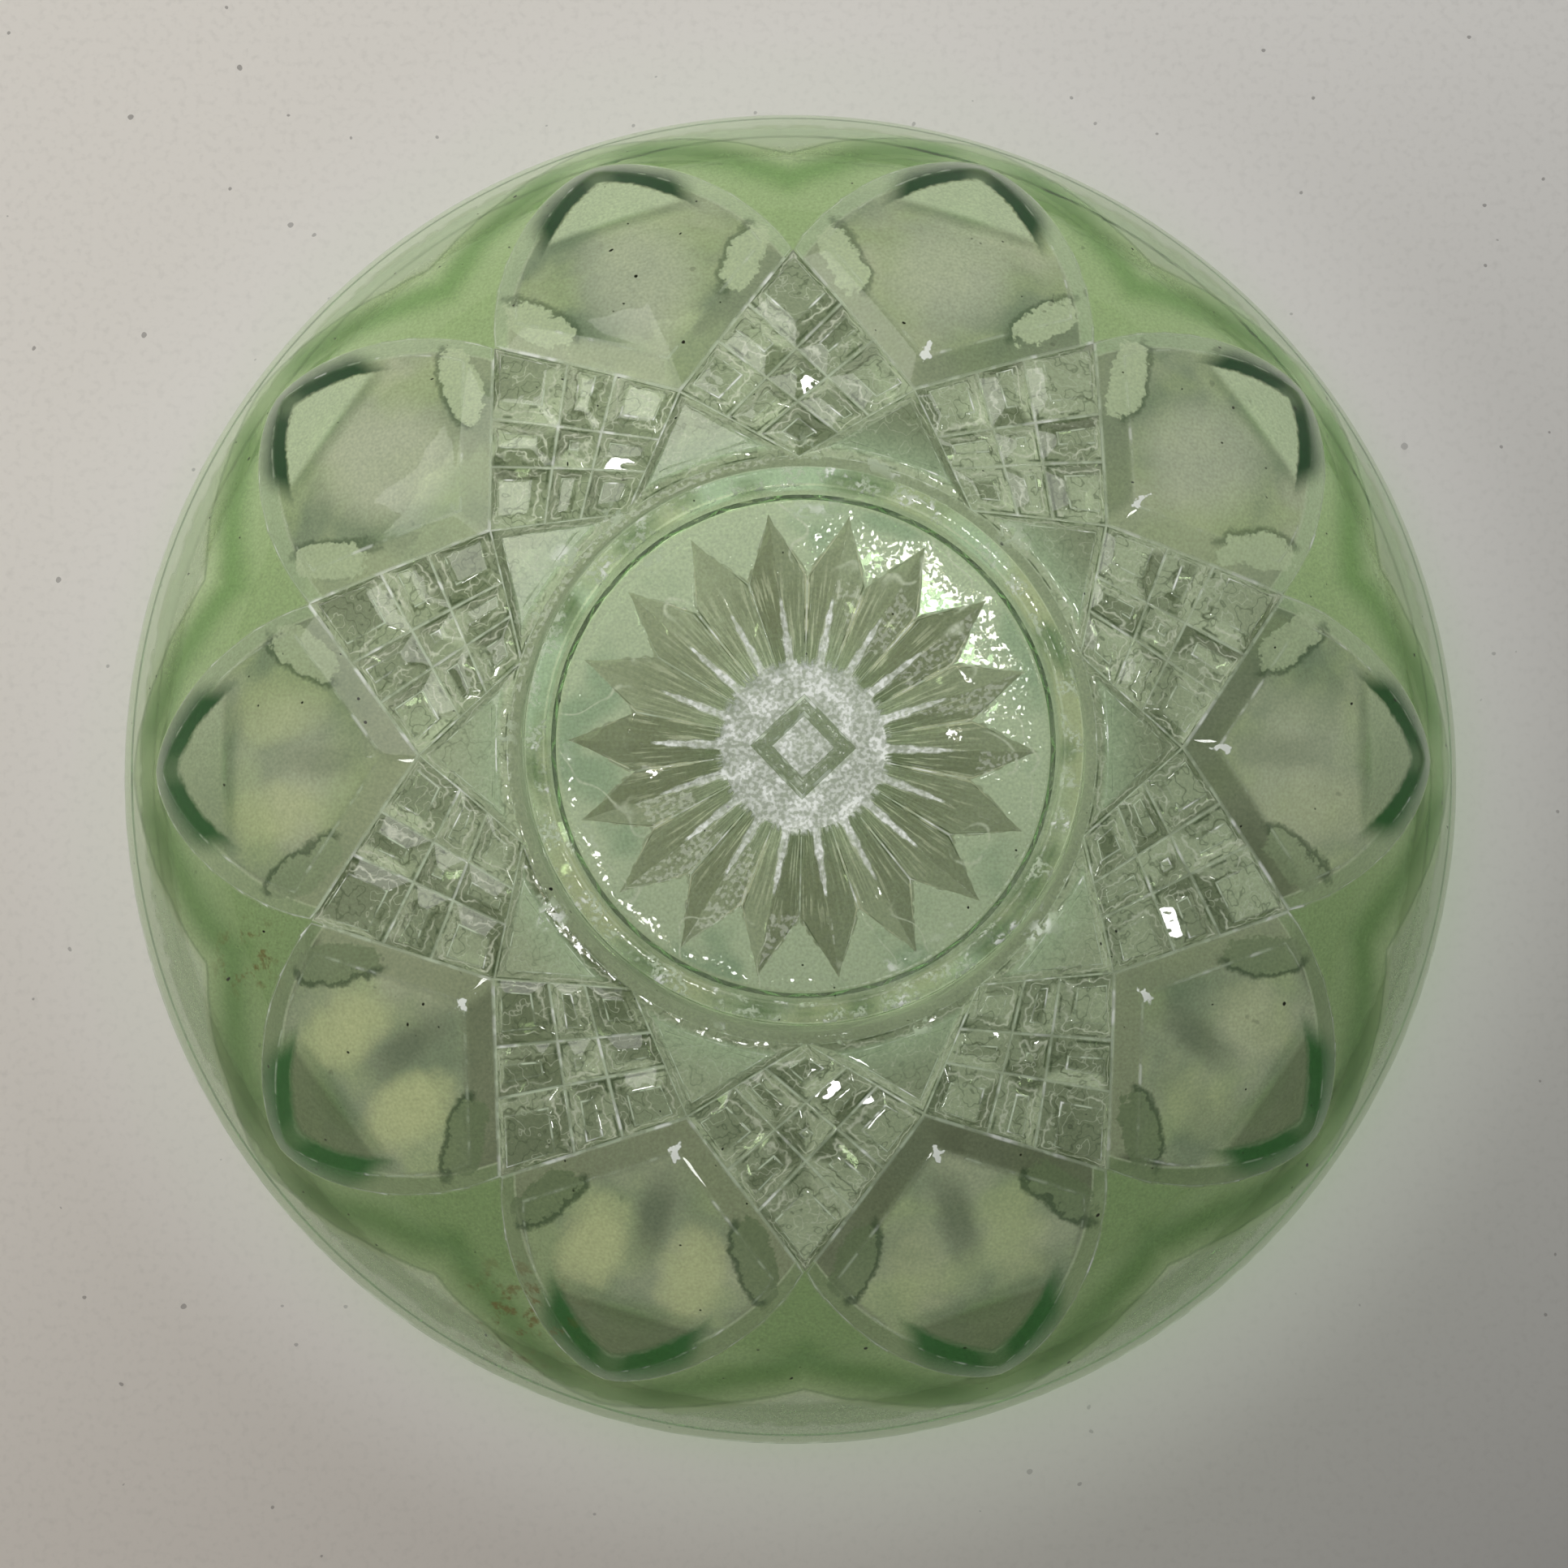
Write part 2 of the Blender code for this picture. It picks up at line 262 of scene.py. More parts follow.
def corner_shifts(frames, widths):
    """How far the corner before each side moves as the sides move inwards by their widths."""
    corners = []
    for i, (_, inward) in enumerate(frames):
        last_in, next_in = frames[i - 1][1][-1], inward[0]
        c = float(np.dot(last_in, next_in))
        det = max(1 - c * c, 1e-6)
        w_last, w_next = widths[i - 1], widths[i]
        corners.append((last_in * (w_last - c * w_next) + next_in * (w_next - c * w_last)) / det)
    return corners


def shifts(sides, widths):
    """How far each outline point moves in plan as every side moves inwards by its width.

    Sides are point arrays that share their end corners. Each point keeps its share of the
    way between the corners, so the inset outline never folds over itself.
    """
    frames = [side_frame(side) for side in sides]
    corners = corner_shifts(frames, widths)
    moves = []
    for i, (side, (along, inward)) in enumerate(zip(sides, frames)):
        step = np.linalg.norm(np.diff(side, axis=0), axis=1)
        share = np.concatenate([[0], np.cumsum(step)]) / step.sum()
        start = np.dot(corners[i], along[0])
        stop = np.dot(corners[(i + 1) % len(sides)], along[-1])
        slide = start * (1 - share) + stop * share
        move = inward * widths[i] + along * slide[:, None]
        move[0] = corners[i]
        moves.append(move[:-1, :2])
    return np.vstack(moves)


def cell(sides, widths, height, crown, levels, fill):
    """Rings of a raised cell from groove to middle, their steps up the bevel, and the side of each point."""
    outline = np.vstack([side[:-1] for side in sides])
    shift = shifts(sides, widths)
    centre = outline.mean(axis=0)
    toward = centre - outline
    reach = np.sum(shift * toward, axis=1) / np.maximum(np.sum(shift * shift, axis=1), 1e-12)
    limit = min(1.0, 0.96 * reach.min() / levels[-1])
    rings = [on_wall(outline + shift * t * limit, height * limit * ramp(t, levels[-1]))[0] for t in levels]
    edge = outline + shift * levels[-1] * limit
    for k in range(1, fill):
        keep = 1 - k / fill
        lift = height * limit + crown * (1 - keep * keep)
        rings.append(on_wall(centre + (edge - centre) * keep, lift)[0])
    rings.append(np.repeat(on_wall(centre[None], height * limit + crown)[0], len(outline), axis=0))
    steps = np.concatenate([levels, np.full(fill, LEVEL)])
    return np.array(rings), steps, np.repeat(np.arange(len(sides)), [len(side) - 1 for side in sides])


def repeat_cell(glass, rings, steps, side_of_point, spread, **kind):
    """Adds a cell once for each petal, faces outwards, its facets toned a little differently at random as
    painted light and shade.
    """
    rise = steps[:, None]
    on_bevel = np.clip((1.12 - rise) / 0.2, 0, 1)
    rings, side_of_point = rings[:, ::-1], side_of_point[::-1]
    for k in range(PETALS):
        tones = MID_TONE + spread * (RANDOM.random(side_of_point.max() + 2) - 0.5)
        tone = on_bevel * tones[side_of_point][None] + (1 - on_bevel) * tones[-1]
        here = spin(rings, k * 2 * HALF)
        glass.grid(here[:-1], closed=True, outside=1.0, rise=rise[:-1], tone=tone[:-1], **kind)
        glass.fan(here[-2], here[-1, 0], outside=1.0, rise=LEVEL, tone=tones[-1], **kind)


def arch_radius(angle):
    """Radius of the petal's arch at an angle from its axis: a super-ellipse from corner to tip."""
    share = np.clip(np.abs(angle) / HALF, 0, 1)
    along = (1 - share ** (1 / ARCH_ROUNDNESS)) ** (1 / ARCH_POWER)
    return PETAL_CORNER + along * (PETAL_TIP - PETAL_CORNER)


def fractions():
    """Shares along a diamond's side at which the panel's blocks have points."""
    steps = [0.0]
    for low, high, count in zip(CUTS, CUTS[1:], CUT_STEPS):
        steps += [low + (high - low) * (k + 1) / count for k in range(count)]
    return np.array(steps)


def line(a, b, shares):
    return a + (b - a) * np.asarray(shares)[:, None]


def petal_sides():
    """Sides of the petal on +X, clockwise seen from above, starting at its inner point."""
    inner = polar(PETAL_INNER, 0)
    corner = polar(PETAL_CORNER, HALF)
    side = line(corner, inner, fractions())[::-1]
    steps = round(math.degrees(HALF))
    angles = HALF * (1 - np.arange(steps + 1) / steps)
    arch = polar(arch_radius(angles), angles)
    mirror = (1, -1)
    return [side, arch, arch[::-1] * mirror, side[::-1] * mirror]


def petals(glass):
    widths = (SIDE_BEVEL, ARCH_BEVEL, ARCH_BEVEL, SIDE_BEVEL)
    petal = cell(petal_sides(), widths, PETAL_HEIGHT, PETAL_CROWN, PETAL_LEVELS, PETAL_FILL)
    repeat_cell(glass, *petal, spread=0.9, petal=1.0)


def block_sides(corners, i, j):
    """Sides of block (i, j) of a panel, clockwise seen from above, with shared points."""
    def at(u, v):
        u, v = np.asarray(u)[..., None], np.asarray(v)[..., None]
        a, b, c, d = corners
        return (1 - u) * (1 - v) * a + u * (1 - v) * b + u * v * c + (1 - u) * v * d

    (u0, u1), (v0, v1) = CUTS[i:i + 2], CUTS[j:j + 2]
    us = u0 + (u1 - u0) * np.arange(CUT_STEPS[i] + 1) / CUT_STEPS[i]
    vs = v0 + (v1 - v0) * np.arange(CUT_STEPS[j] + 1) / CUT_STEPS[j]
    return [
        at(np.full_like(vs, u0), vs),
        at(us, np.full_like(us, v1)),
        at(np.full_like(vs, u1), vs)[::-1],
        at(us, np.full_like(us, v0))[::-1],
    ]


def diamonds(glass):
    """Panels of three by three blocks between the petals."""
    corners = (
        polar(PETAL_CORNER, HALF),
        polar(PETAL_INNER, 2 * HALF),
        polar(DIAMOND_INNER, HALF),
        polar(PETAL_INNER, 0),
    )
    last = len(CUT_STEPS) - 1
    for i in range(last + 1):
        for j in range(last + 1):
            on_edge = (i == 0, j == last, i == last, j == 0)
            widths = [BLOCK_EDGE if edge else BLOCK_GROOVE for edge in on_edge]
            block = cell(block_sides(corners, i, j), widths, BLOCK_HEIGHT, 0.0, BLOCK_LEVELS, BLOCK_FILL)
            repeat_cell(glass, *block, spread=1.0, block=1.0)


def star_points(glass):
    """Triangles between the panels' inner points and the foot."""
    shares = fractions()
    apex = polar(PETAL_INNER, 0)
    steps = round(math.degrees(2 * HALF))
    base = polar(DIAMOND_INNER, -HALF + 2 * HALF * np.arange(steps + 1) / steps)
    down = line(apex, base[0], shares)
    up = line(apex, base[-1], shares)[::-1]
    widths = (STAR_BEVEL,) * 3
    point = cell([down, base, up], widths, STAR_HEIGHT, 0.0, PETAL_LEVELS, STAR_FILL)
    repeat_cell(glass, *point, spread=0.9, block=STAR_SHARE)


def plain_band(glass):
    """The smooth wall between the petals' arches and the rim."""
    steps = round(math.degrees(2 * HALF))
    angles = -HALF + 2 * HALF * np.arange(steps + 1) / steps
    start = arch_radius(angles)
    t_start = np.interp(start, WALL[:, 0], WALL_T)
    shares = np.concatenate([[0, 0.01, 0.03], np.linspace(0.07, 1, 15)])
    t = t_start[None] + (1 - t_start[None]) * shares[:, None]
    section = cubic(OUTER, t)
    rows = np.concatenate([polar(section[..., 0], angles[None]), section[..., 1:]], axis=-1)
    for k in range(PETALS):
        glass.grid(spin(rows, k * 2 * HALF), outside=1.0, rise=LEVEL, plain=1.0, tone=MID_TONE)


# ---- rayed base

def leaf_edge():
    """Radii of the pointed edge of a ray, from beside its tip to the notch between two rays."""
    share = np.arange(1, LEAF_ROWS + 1) / LEAF_ROWS
    return RAY_TIP - (RAY_TIP - RAY_NOTCH) * share ** 0.75


def ray_rows():
    """Half a ray as rows across it, from just inside its tip to the hub, with their frost and rise."""
    ridge_r = np.linspace(RAY_NOTCH, HUB_RADIUS, RIDGE_ROWS + 1)[1:]
    edge_r = np.concatenate([leaf_edge(), ridge_r])
    leaf_a = RAY_HALF * np.arange(1, LEAF_ROWS + 1) / LEAF_ROWS
    edge_a = np.concatenate([leaf_a, np.full(RIDGE_ROWS, RAY_HALF)])
    total = len(edge_r)
    centre_r = RAY_TIP - (RAY_TIP - HUB_RADIUS) * np.arange(1, total + 1) / total
    across = np.concatenate([[0, 0.04, 0.09], np.linspace(0.18, RIDGE_SHARE, 7), [0.96, 1]])
    rows = []
    frost = []
    for er, ea, cr in zip(edge_r, edge_a, centre_r):
        depth = RAY_DEPTH * min(1.0, ((RAY_TIP - cr) / RAY_RUN_IN) ** 0.8)
        flat = FLAT_SHARE * max(0.0, (FLAT_START - cr) / (FLAT_START - HUB_RADIUS))
        up = np.clip((across - flat) / (1 - flat), 0, 1)
        profile = np.sqrt(up ** 2 + VALLEY_SOFTNESS ** 2) - VALLEY_SOFTNESS * (1 - up)
        lift = RECESS_DEPTH + depth * (1 - np.clip(profile, 0, 1))
        rows.append(np.concatenate([polar(cr + (er - cr) * across, ea * across), lift[:, None]], axis=-1))
        frost.append(np.where(across <= flat + 0.02, 1.0, 0.0) * (flat > 0.02))
    rise = np.where(across >= RIDGE_SHARE, (1 - across) * 2.5, LEVEL)
    return np.array(rows), np.array(frost), rise


def rays(glass):
    """The rays and the floor round them; returns half a ray's edge at the hub."""
    rows, frost, rise = ray_rows()
    faces = [(0, j + 1, j + 2) for j in range(rows.shape[1] - 1)]
    tip = np.vstack([(RAY_TIP, 0, RECESS_DEPTH), rows[0]])
    outer = np.concatenate([[RAY_TIP], leaf_edge()])
    angles = RAY_HALF * np.arange(LEAF_ROWS + 1) / LEAF_ROWS
    radius = outer[None] + (RECESS_FLAT - outer[None]) * np.array(RECESS_SHARES)[:, None]
    depth = np.full(radius.shape + (1,), RECESS_DEPTH)
    floor = np.concatenate([polar(radius, angles[None]), depth], axis=-1)
    for k in range(RAYS):
        turn = RAY_TURN + k * 2 * RAY_HALF
        for mirror in ((1, 1, 1), (1, -1, 1)):
            # a random tone for each half ray, painted light and shade of its slope
            tone = 0.1 + 0.7 * RANDOM.random()
            glass.add(spin(tip * mirror, turn), faces, outside=1.0, rise=LEVEL, tone=tone)
            glass.grid(spin(rows * mirror, turn), outside=1.0, rise=rise, frost=frost, tone=tone)
            glass.grid(spin(floor * mirror, turn), outside=1.0, rise=LEVEL, tone=FLOOR_TONE)
    return rows[-1]


def hub_rim(edge):
    """Angles and heights round the hub, from half a ray's edge there."""
    half_angles = np.arctan2(edge[:, 1], edge[:, 0])
    angles, heights = [], []
    for k in range(RAYS):
        middle = k * 2 * RAY_HALF
        angles += list(middle - half_angles[:0:-1]) + list(middle + half_angles[:-1])
        heights += list(edge[:0:-1, 2]) + list(edge[:-1, 2])
    return np.array(angles), np.array(heights)


def hub(glass, edge):
    """Sunken round floor with a plain raised lozenge."""
    angles, heights = hub_rim(edge)
    floor = RECESS_DEPTH + RAY_DEPTH
    circle = np.ones_like(angles)
    rows = [(HUB_RADIUS * circle, heights)]
    rows += [(radius * circle, floor * circle) for radius in (HUB_RADIUS - HUB_WALL, *HUB_RINGS)]
    frost = [1.0] * len(rows)
    rise = [LEVEL] * len(rows)
    rhombus = MM / (np.abs(np.cos(angles)) + np.abs(np.sin(angles)))
    for reach, raised, on_edge in LOZENGE:
        rows.append((reach * rhombus, (floor - LOZENGE_HEIGHT * raised) * circle))
        frost.append(LOZENGE_FROST if raised or on_edge else 1.0)
        rise.append(EDGE if on_edge else LEVEL)
    points = np.array([np.concatenate([polar(r, angles), z[:, None]], axis=-1) for r, z in rows])
    points = spin(points, RAY_TURN)
    frost, rise = np.array(frost)[:, None], np.array(rise)[:, None]
    glass.grid(points, closed=True, outside=1.0, rise=rise, frost=frost, tone=HUB_TONE)
    glass.fan(points[-1], (0, 0, floor), outside=1.0, rise=LEVEL, frost=1.0, tone=MID_TONE)


# ---- turned parts

def arc(centre, radius, start, stop, count):
    angles = np.radians(np.linspace(start, stop, count))
    return np.asarray(centre) + radius * np.stack([np.cos(angles), np.sin(angles)], axis=-1)


def bowl_inside(glass):
    """The bowl's floor, its inner wall, and the rim over to the outer wall."""
    floor_r = np.linspace(FLOOR_MIDDLE, FLOOR_RADIUS, 10)[:-1]
    floor = np.stack([floor_r, np.full_like(floor_r, FLOOR_HEIGHT)], axis=-1)
    wall = cubic(INNER, np.linspace(0, 1, 36))
    half = RIM_THICKNESS / 2
    rim = arc((RIM_RADIUS - half, HEIGHT - half), half, 180, 0, 13)
    rows = ring_rows(np.vstack([floor, wall[:-1], rim]))
    glass.grid(rows, closed=True)
    glass.fan(rows[0], (0, 0, FLOOR_HEIGHT))


def foot(glass):
    """From the star points' base circle down the foot ring and up to the recess's floor."""
    start_t = np.interp(DIAMOND_INNER, WALL[:, 0], WALL_T)
    wall = cubic(OUTER, np.linspace(start_t, 0, 4))
    outer = arc((FOOT_OUTER - FOOT_ROUND, FOOT_ROUND), FOOT_ROUND, 0, -90, 6)
    inner = arc((FOOT_INNER + FOOT_ROUND, FOOT_ROUND), FOOT_ROUND, -90, -180, 6)
    recess = arc((RECESS_FLAT, RECESS_DEPTH - RECESS_ROUND), RECESS_ROUND, 0, 90, 5)
    section = np.vstack([wall[:-1], (ROOT,), outer, inner, recess])
    in_recess = section[:, 0] < FOOT_INNER - 0.1 * MM
    tone = np.where(in_recess, FLOOR_TONE, MID_TONE)[:, None]
    glass.grid(ring_rows(section), closed=True, outside=1.0, rise=LEVEL, tone=tone)


def build_glass():
    glass = Glass()
    petals(glass)
    diamonds(glass)
    star_points(glass)
    plain_band(glass)
    hub(glass, rays(glass))
    bowl_inside(glass)
    foot(glass)
    return glass


def glass_object():
    glass = build_glass()
    bm = bmesh.new()
    layers = [bm.verts.layers.float.new(name) for name in Glass.AMOUNTS]
    amounts = np.vstack(glass.amounts)
    verts = [bm.verts.new(point) for point in np.vstack(glass.points)]
    for vert, row in zip(verts, amounts):
        for layer, amount in zip(layers, row):
            vert[layer] = amount
    for face in glass.faces:
        bm.faces.new([verts[i] for i in face])
    bmesh.ops.remove_doubles(bm, verts=bm.verts, dist=MERGE)
    bmesh.ops.recalc_face_normals(bm, faces=bm.faces)
    mesh = bpy.data.meshes.new("dish_glass")
    bm.to_mesh(mesh)
    bm.free()
    mesh.shade_smooth()
    item = bpy.data.objects.new("dish_glass", mesh)
    bpy.context.scene.collection.objects.link(item)
    return item


# ---- node trees

class Graph:
    """Short way of writing a node tree: each method adds a node and returns its output."""

    def __init__(self, name):
        self.material = bpy.data.materials.new(name)
        self.material.use_nodes = True
        self.tree = self.material.node_tree
        self.tree.nodes.clear()
        self.spot = self.node("TexCoord").outputs["Object"]

    def node(self, kind, *inputs, **settings):
        item = self.tree.nodes.new("ShaderNode" + kind)
        for name, value in settings.items():
            setattr(item, name, value)
        for socket, value in zip(item.inputs, inputs):
            self.put(socket, value)
        return item

    def put(self, socket, value):
        if isinstance(value, bpy.types.NodeSocket):
            self.tree.links.new(value, socket)
        elif value is not None:
            socket.default_value = value

    def math(self, operation, *inputs):
        return self.node("Math", *inputs, operation=operation).outputs[0]

    def add(self, a, b):
        return self.math("ADD", a, b)

    def sub(self, a, b):
        return self.math("SUBTRACT", a, b)

    def mul(self, a, *others):
        for b in others:
            a = self.math("MULTIPLY", a, b)
        return a

    def larger(self, a, *others):
        for b in others:
            a = self.math("MAXIMUM", a, b)
        return a

    def step(self, value, low, high):
        """Smooth step of a value from 0 at low to 1 at high; high may be below low."""
        fixed = not any(isinstance(end, bpy.types.NodeSocket) for end in (low, high))
        if fixed and low > high:
            return self.sub(1.0, self.step(value, high, low))
        return self.node("MapRange", value, low, high, 0.0, 1.0, interpolation_type="SMOOTHSTEP").outputs[0]

    def bump_at(self, value, centre, half):
        """1 where the value is at the centre, falling smoothly to 0 half a width away."""
        return self.step(self.math("ABSOLUTE", self.sub(value, centre)), half, 0.0)

    def oval(self, u, v, centre, halves, power=2.0):
        """How far out (u, v) lies from an oval's centre, to a power: 1 is on the oval."""
        terms = []
        for value, middle, half in zip((u, v), centre, halves):
            away = self.math("ABSOLUTE", self.mul(self.sub(value, middle), 1 / half))
            terms.append(self.math("POWER", away, power))
        return self.add(*terms)

    def noise(self, scale, detail=2.0, rough=0.5, vector=None):
        item = self.node("TexNoise", vector or self.spot)
        item.inputs["Scale"].default_value = scale
        item.inputs["Detail"].default_value = detail
        item.inputs["Roughness"].default_value = rough
        return item.outputs[0]

    def wobble(self, scale, size, **settings):
        """Noise about zero, up to half of size each way."""
        return self.mul(self.sub(self.noise(scale, **settings), 0.5), size)

    def parts(self, vector):
        return list(self.node("SeparateXYZ", vector).outputs)

    def amount(self, name):
        return self.node("Attribute", attribute_name=name).outputs["Fac"]

    def blend(self, factor, a, b):
        item = self.tree.nodes.new("ShaderNodeMix")
        item.data_type = "RGBA"
        for socket, value in zip((item.inputs[0], item.inputs[6], item.inputs[7]), (factor, a, b)):
            self.put(socket, (*value, 1.0) if isinstance(value, tuple) else value)
        return item.outputs[2]


# ---- tints of the glass

# A pair of tints is painted shade for the side away from the window and painted light for the side towards
# it. Lengths are in mm here.
PLAIN_WHITE = (1.0, 1.0, 1.0)
# painted highlight for the bright lines on the blocks and the strokes of light in the recess
PAINTED_HIGHLIGHT = (1.0, 1.0, 0.93)
TINT_POWER = 1.85

# painted light and shade on the arch's bevel band, and a painted highlight line inside it
ARCH_BAND = ((0.36, 0.48, 0.26), (0.70, 0.86, 0.58))
ARCH_HIGHLIGHT = (0.80, 0.88, 0.68)
ARCH_HIGHLIGHT_INSET = 2.3
# painted shade: the deep green crescents beside the petals' tips
CRESCENT_SHADE = ((0.045, 0.18, 0.045), (0.008, 0.07, 0.014))
CRESCENT_SHADE_INSET = 2.3
CRESCENT_SHADE_SPREAD = 0.19
# painted light and shade near the petals' tips: wedge, smile line and blob
PAINTED_WEDGE = ((0.21, 0.26, 0.15), (0.80, 0.90, 0.68))
SMILE_SHADE = (0.22, 0.31, 0.18)
SMILE_SHADE_ALONG = 49.3
BLOB_SHADE = (0.25, 0.42, 0.18)
BLOB_SHADE_CENTRE = (50.3, 0.0)
BLOB_SHADE_HALVES = (1.0, 3.8)
# painted pools of light on the petals, and a painted streak of shade between them
GLOW = (0.88, 0.90, 0.56)
GLOW_CENTRE = (45.2, 4.4)
GLOW_HALVES = (4.6, 2.9)
SHADE_STREAK = (0.24, 0.28, 0.21)
SHADE_STREAK_ALONG = 41.5
# painted reflected light in the petals' side corners, with an inner edge of painted shade
PATCH = ((0.24, 0.31, 0.18), (0.80, 0.89, 0.66))
PATCH_EDGE = (0.06, 0.11, 0.05)
PATCH_CENTRE = (42.4, 9.3)
PATCH_HALVES = (3.5, 1.65)
PATCH_COSINE, PATCH_SINE = 0.80, 0.60
PATCH_POWER = 2.6
FIELD_DARK, FIELD_LIGHT = (0.30, 0.38, 0.27), (0.72, 0.74, 0.58)
FIELD_BLOT = (0.62, 0.72, 0.42)
# painted highlight in the middle of each petal
FIELD_HIGHLIGHT = (0.80, 0.81, 0.70)
FIELD_HIGHLIGHT_CENTRE = (43.6, 0.0)
# painted light and shade on the petals' bevels
BEVEL_SHADE = ((0.06, 0.075, 0.04), (0.21, 0.27, 0.18))
BEVEL_LIT = ((0.50, 0.54, 0.39), (0.72, 0.76, 0.58))
CORNER_ALONG = 35.9

# painted light and shade of the smooth wall: green shade waves beside the arches, a pale band of light by
# the rim and a shade line at its border
WALL_NEAR = ((0.35, 0.49, 0.23), (0.55, 0.71, 0.38))
WALL_FAR = ((0.52, 0.64, 0.38), (0.80, 0.92, 0.62))
WALL_WAVE_SHADE = ((0.19, 0.34, 0.12), (0.26, 0.47, 0.15))
WAVE_RADIUS, WAVE_SWING = 57.6, 6.0
BORDER_RADIUS, BORDER_SWING = 58.7, 4.2
SWING_POWER = 1.25
RIM_PALE_LIGHT = ((0.74, 0.79, 0.62), (0.86, 0.91, 0.75))
RIM_SHADE_LINE = (0.25, 0.34, 0.22)

BASE_DARK, BASE_LIGHT = (0.36, 0.43, 0.30), (0.60, 0.70, 0.53)
# painted shade and light of the facets, chosen by each point's tone
FACET_SHADE, FACET_LIT = (0.13, 0.15, 0.07), (0.86, 0.92, 0.73)
# painted shade and highlights of the blocks and star points
WIRE_DARK = (0.09, 0.13, 0.06)
BESIDE_SHADE = (0.12, 0.15, 0.07)
SHADOW_LINE = (0.08, 0.12, 0.05)
LOBE_HIGHLIGHT = (0.74, 0.92, 0.70)
LOBE_HIGHLIGHT_RADII = (30.0, 24.8)

RAY_DARK, RAY_LIGHT = (0.22, 0.24, 0.15), (1.0, 0.99, 0.84)
# painted highlights and reflections in the recess: golden edges of the rays, and teal reflections on the
# floor
RAY_EDGE_LIGHT = (1.0, 0.97, 0.78)
LEAF = (0.38, 0.36, 0.27)
RECESS_MINT, RECESS_TEAL_REFLECTION = (0.89, 0.95, 0.83), (0.36, 0.52, 0.38)
RECESS_RADII = (20.8, 20.2)

RING_DARK, RING_MINT, RING_GOLD = (0.30, 0.40, 0.23), (0.80, 0.98, 0.80), (0.84, 0.84, 0.58)
# painted highlight along the foot ring's edges
RING_HIGHLIGHT = (0.98, 1.0, 0.84)
RING_SHADOW = (0.20, 0.32, 0.15)
# Radius, half width and strength of the painted highlight line along each edge of the foot ring
RING_EDGES = ((23.3, 0.2, 0.9), (21.7, 0.16, 0.8))
RING_MIDDLE = 22.5

BROWN, BLACK = (0.20, 0.11, 0.02), (0.02, 0.02, 0.01)
# Where the brown marks lie, and how far they reach
RESIDUE = ((-47.7, 16.5, 4.5), (-25.2, 48.1, 7.5))

# pale colours of the worn places and of the painted highlights
WEAR_AND_GLINT_DARK, WEAR_AND_GLINT_LIGHT = (0.52, 0.60, 0.44), (0.92, 0.95, 0.88)
PIT_TINT = (0.06, 0.05, 0.04)

Place = namedtuple("Place", "x y height radius angle along across")
Amounts = namedtuple("Amounts", Glass.AMOUNTS)


def place_of(g):
    """A point's position and its place in the nearest petal, in mm and degrees."""
    x, y, height = (g.mul(part, 1 / MM) for part in g.parts(g.spot))
    radius = g.math("SQRT", g.add(g.mul(x, x), g.mul(y, y)))
    angle = g.math("PINGPONG", g.math("ARCTAN2", y, x), HALF)
    along = g.mul(radius, g.math("COSINE", angle))
    across = g.mul(radius, g.math("SINE", angle))
    return Place(x, y, height, radius, g.math("DEGREES", angle), along, across)


def arch_inset(g, place):
    """How far inside the petal's arch a point lies, along its radius."""
    share = g.math("MINIMUM", g.mul(place.angle, 1 / math.degrees(HALF)), 1.0)
    fall = g.sub(1.0, g.math("POWER", share, 1 / ARCH_ROUNDNESS))
    depth = (PETAL_TIP - PETAL_CORNER) / MM
    reach = g.mul(g.math("POWER", g.math("MAXIMUM", fall, 0.0), 1 / ARCH_POWER), depth)
    return g.sub(g.add(reach, PETAL_CORNER / MM), place.radius)


def arch_tints(g, colour, inset, lit):
    """Painted light and shade on the band of the arch's bevel, and a painted highlight line inside it."""
    band = g.mul(g.step(inset, 2.5, 2.0), 0.6)
    colour = g.blend(band, colour, g.blend(lit, *ARCH_BAND))
    return g.blend(g.mul(g.bump_at(inset, ARCH_HIGHLIGHT_INSET, 0.3), 0.5), colour, ARCH_HIGHLIGHT)


def glow_tints(g, colour, place, ragged, uneven, lit):
    """Painted pools of light, stronger on the left, and a painted dark streak of shade between them on the
    dim side.
    """
    dim = g.sub(1.0, lit)
    away = g.oval(place.along, place.across, GLOW_CENTRE, GLOW_HALVES)
    away = g.add(away, g.add(g.mul(uneven, 0.45), g.mul(ragged, 0.5)))
    left = g.add(0.3, g.mul(g.step(place.x, 12.0, -16.0), 0.6))
    colour = g.blend(g.mul(g.step(away, 1.5, 0.0), dim, left), colour, GLOW)
    sideways = g.add(place.across, g.mul(uneven, 0.5))
    streak = g.mul(g.step(sideways, 2.3, 0.4), g.bump_at(place.along, SHADE_STREAK_ALONG, 6.5))
    return g.blend(g.mul(streak, dim, 0.8), colour, SHADE_STREAK)


def tip_tints(g, colour, place, past, lit):
    """Painted light and shade near the petal's tip: a smile-shaped shade line, a green shade blob and a pale
    wedge of light, dark on the side away from the window.
    """
    smile = g.mul(g.bump_at(place.along, SMILE_SHADE_ALONG, 1.1), g.step(place.across, 8.4, 4.5))
    colour = g.blend(g.mul(smile, 0.5), colour, SMILE_SHADE)
    blob = g.step(g.oval(place.along, place.across, BLOB_SHADE_CENTRE, BLOB_SHADE_HALVES), 1.2, 0.1)
    colour = g.blend(g.mul(blob, 0.5), colour, BLOB_SHADE)
    wedge = g.mul(g.step(past, 0.1, -0.2), g.step(place.along, 49.4, 50.2), g.step(place.angle, 8.4, 6.6))
    return g.blend(g.mul(wedge, 0.85), colour, g.blend(lit, *PAINTED_WEDGE))


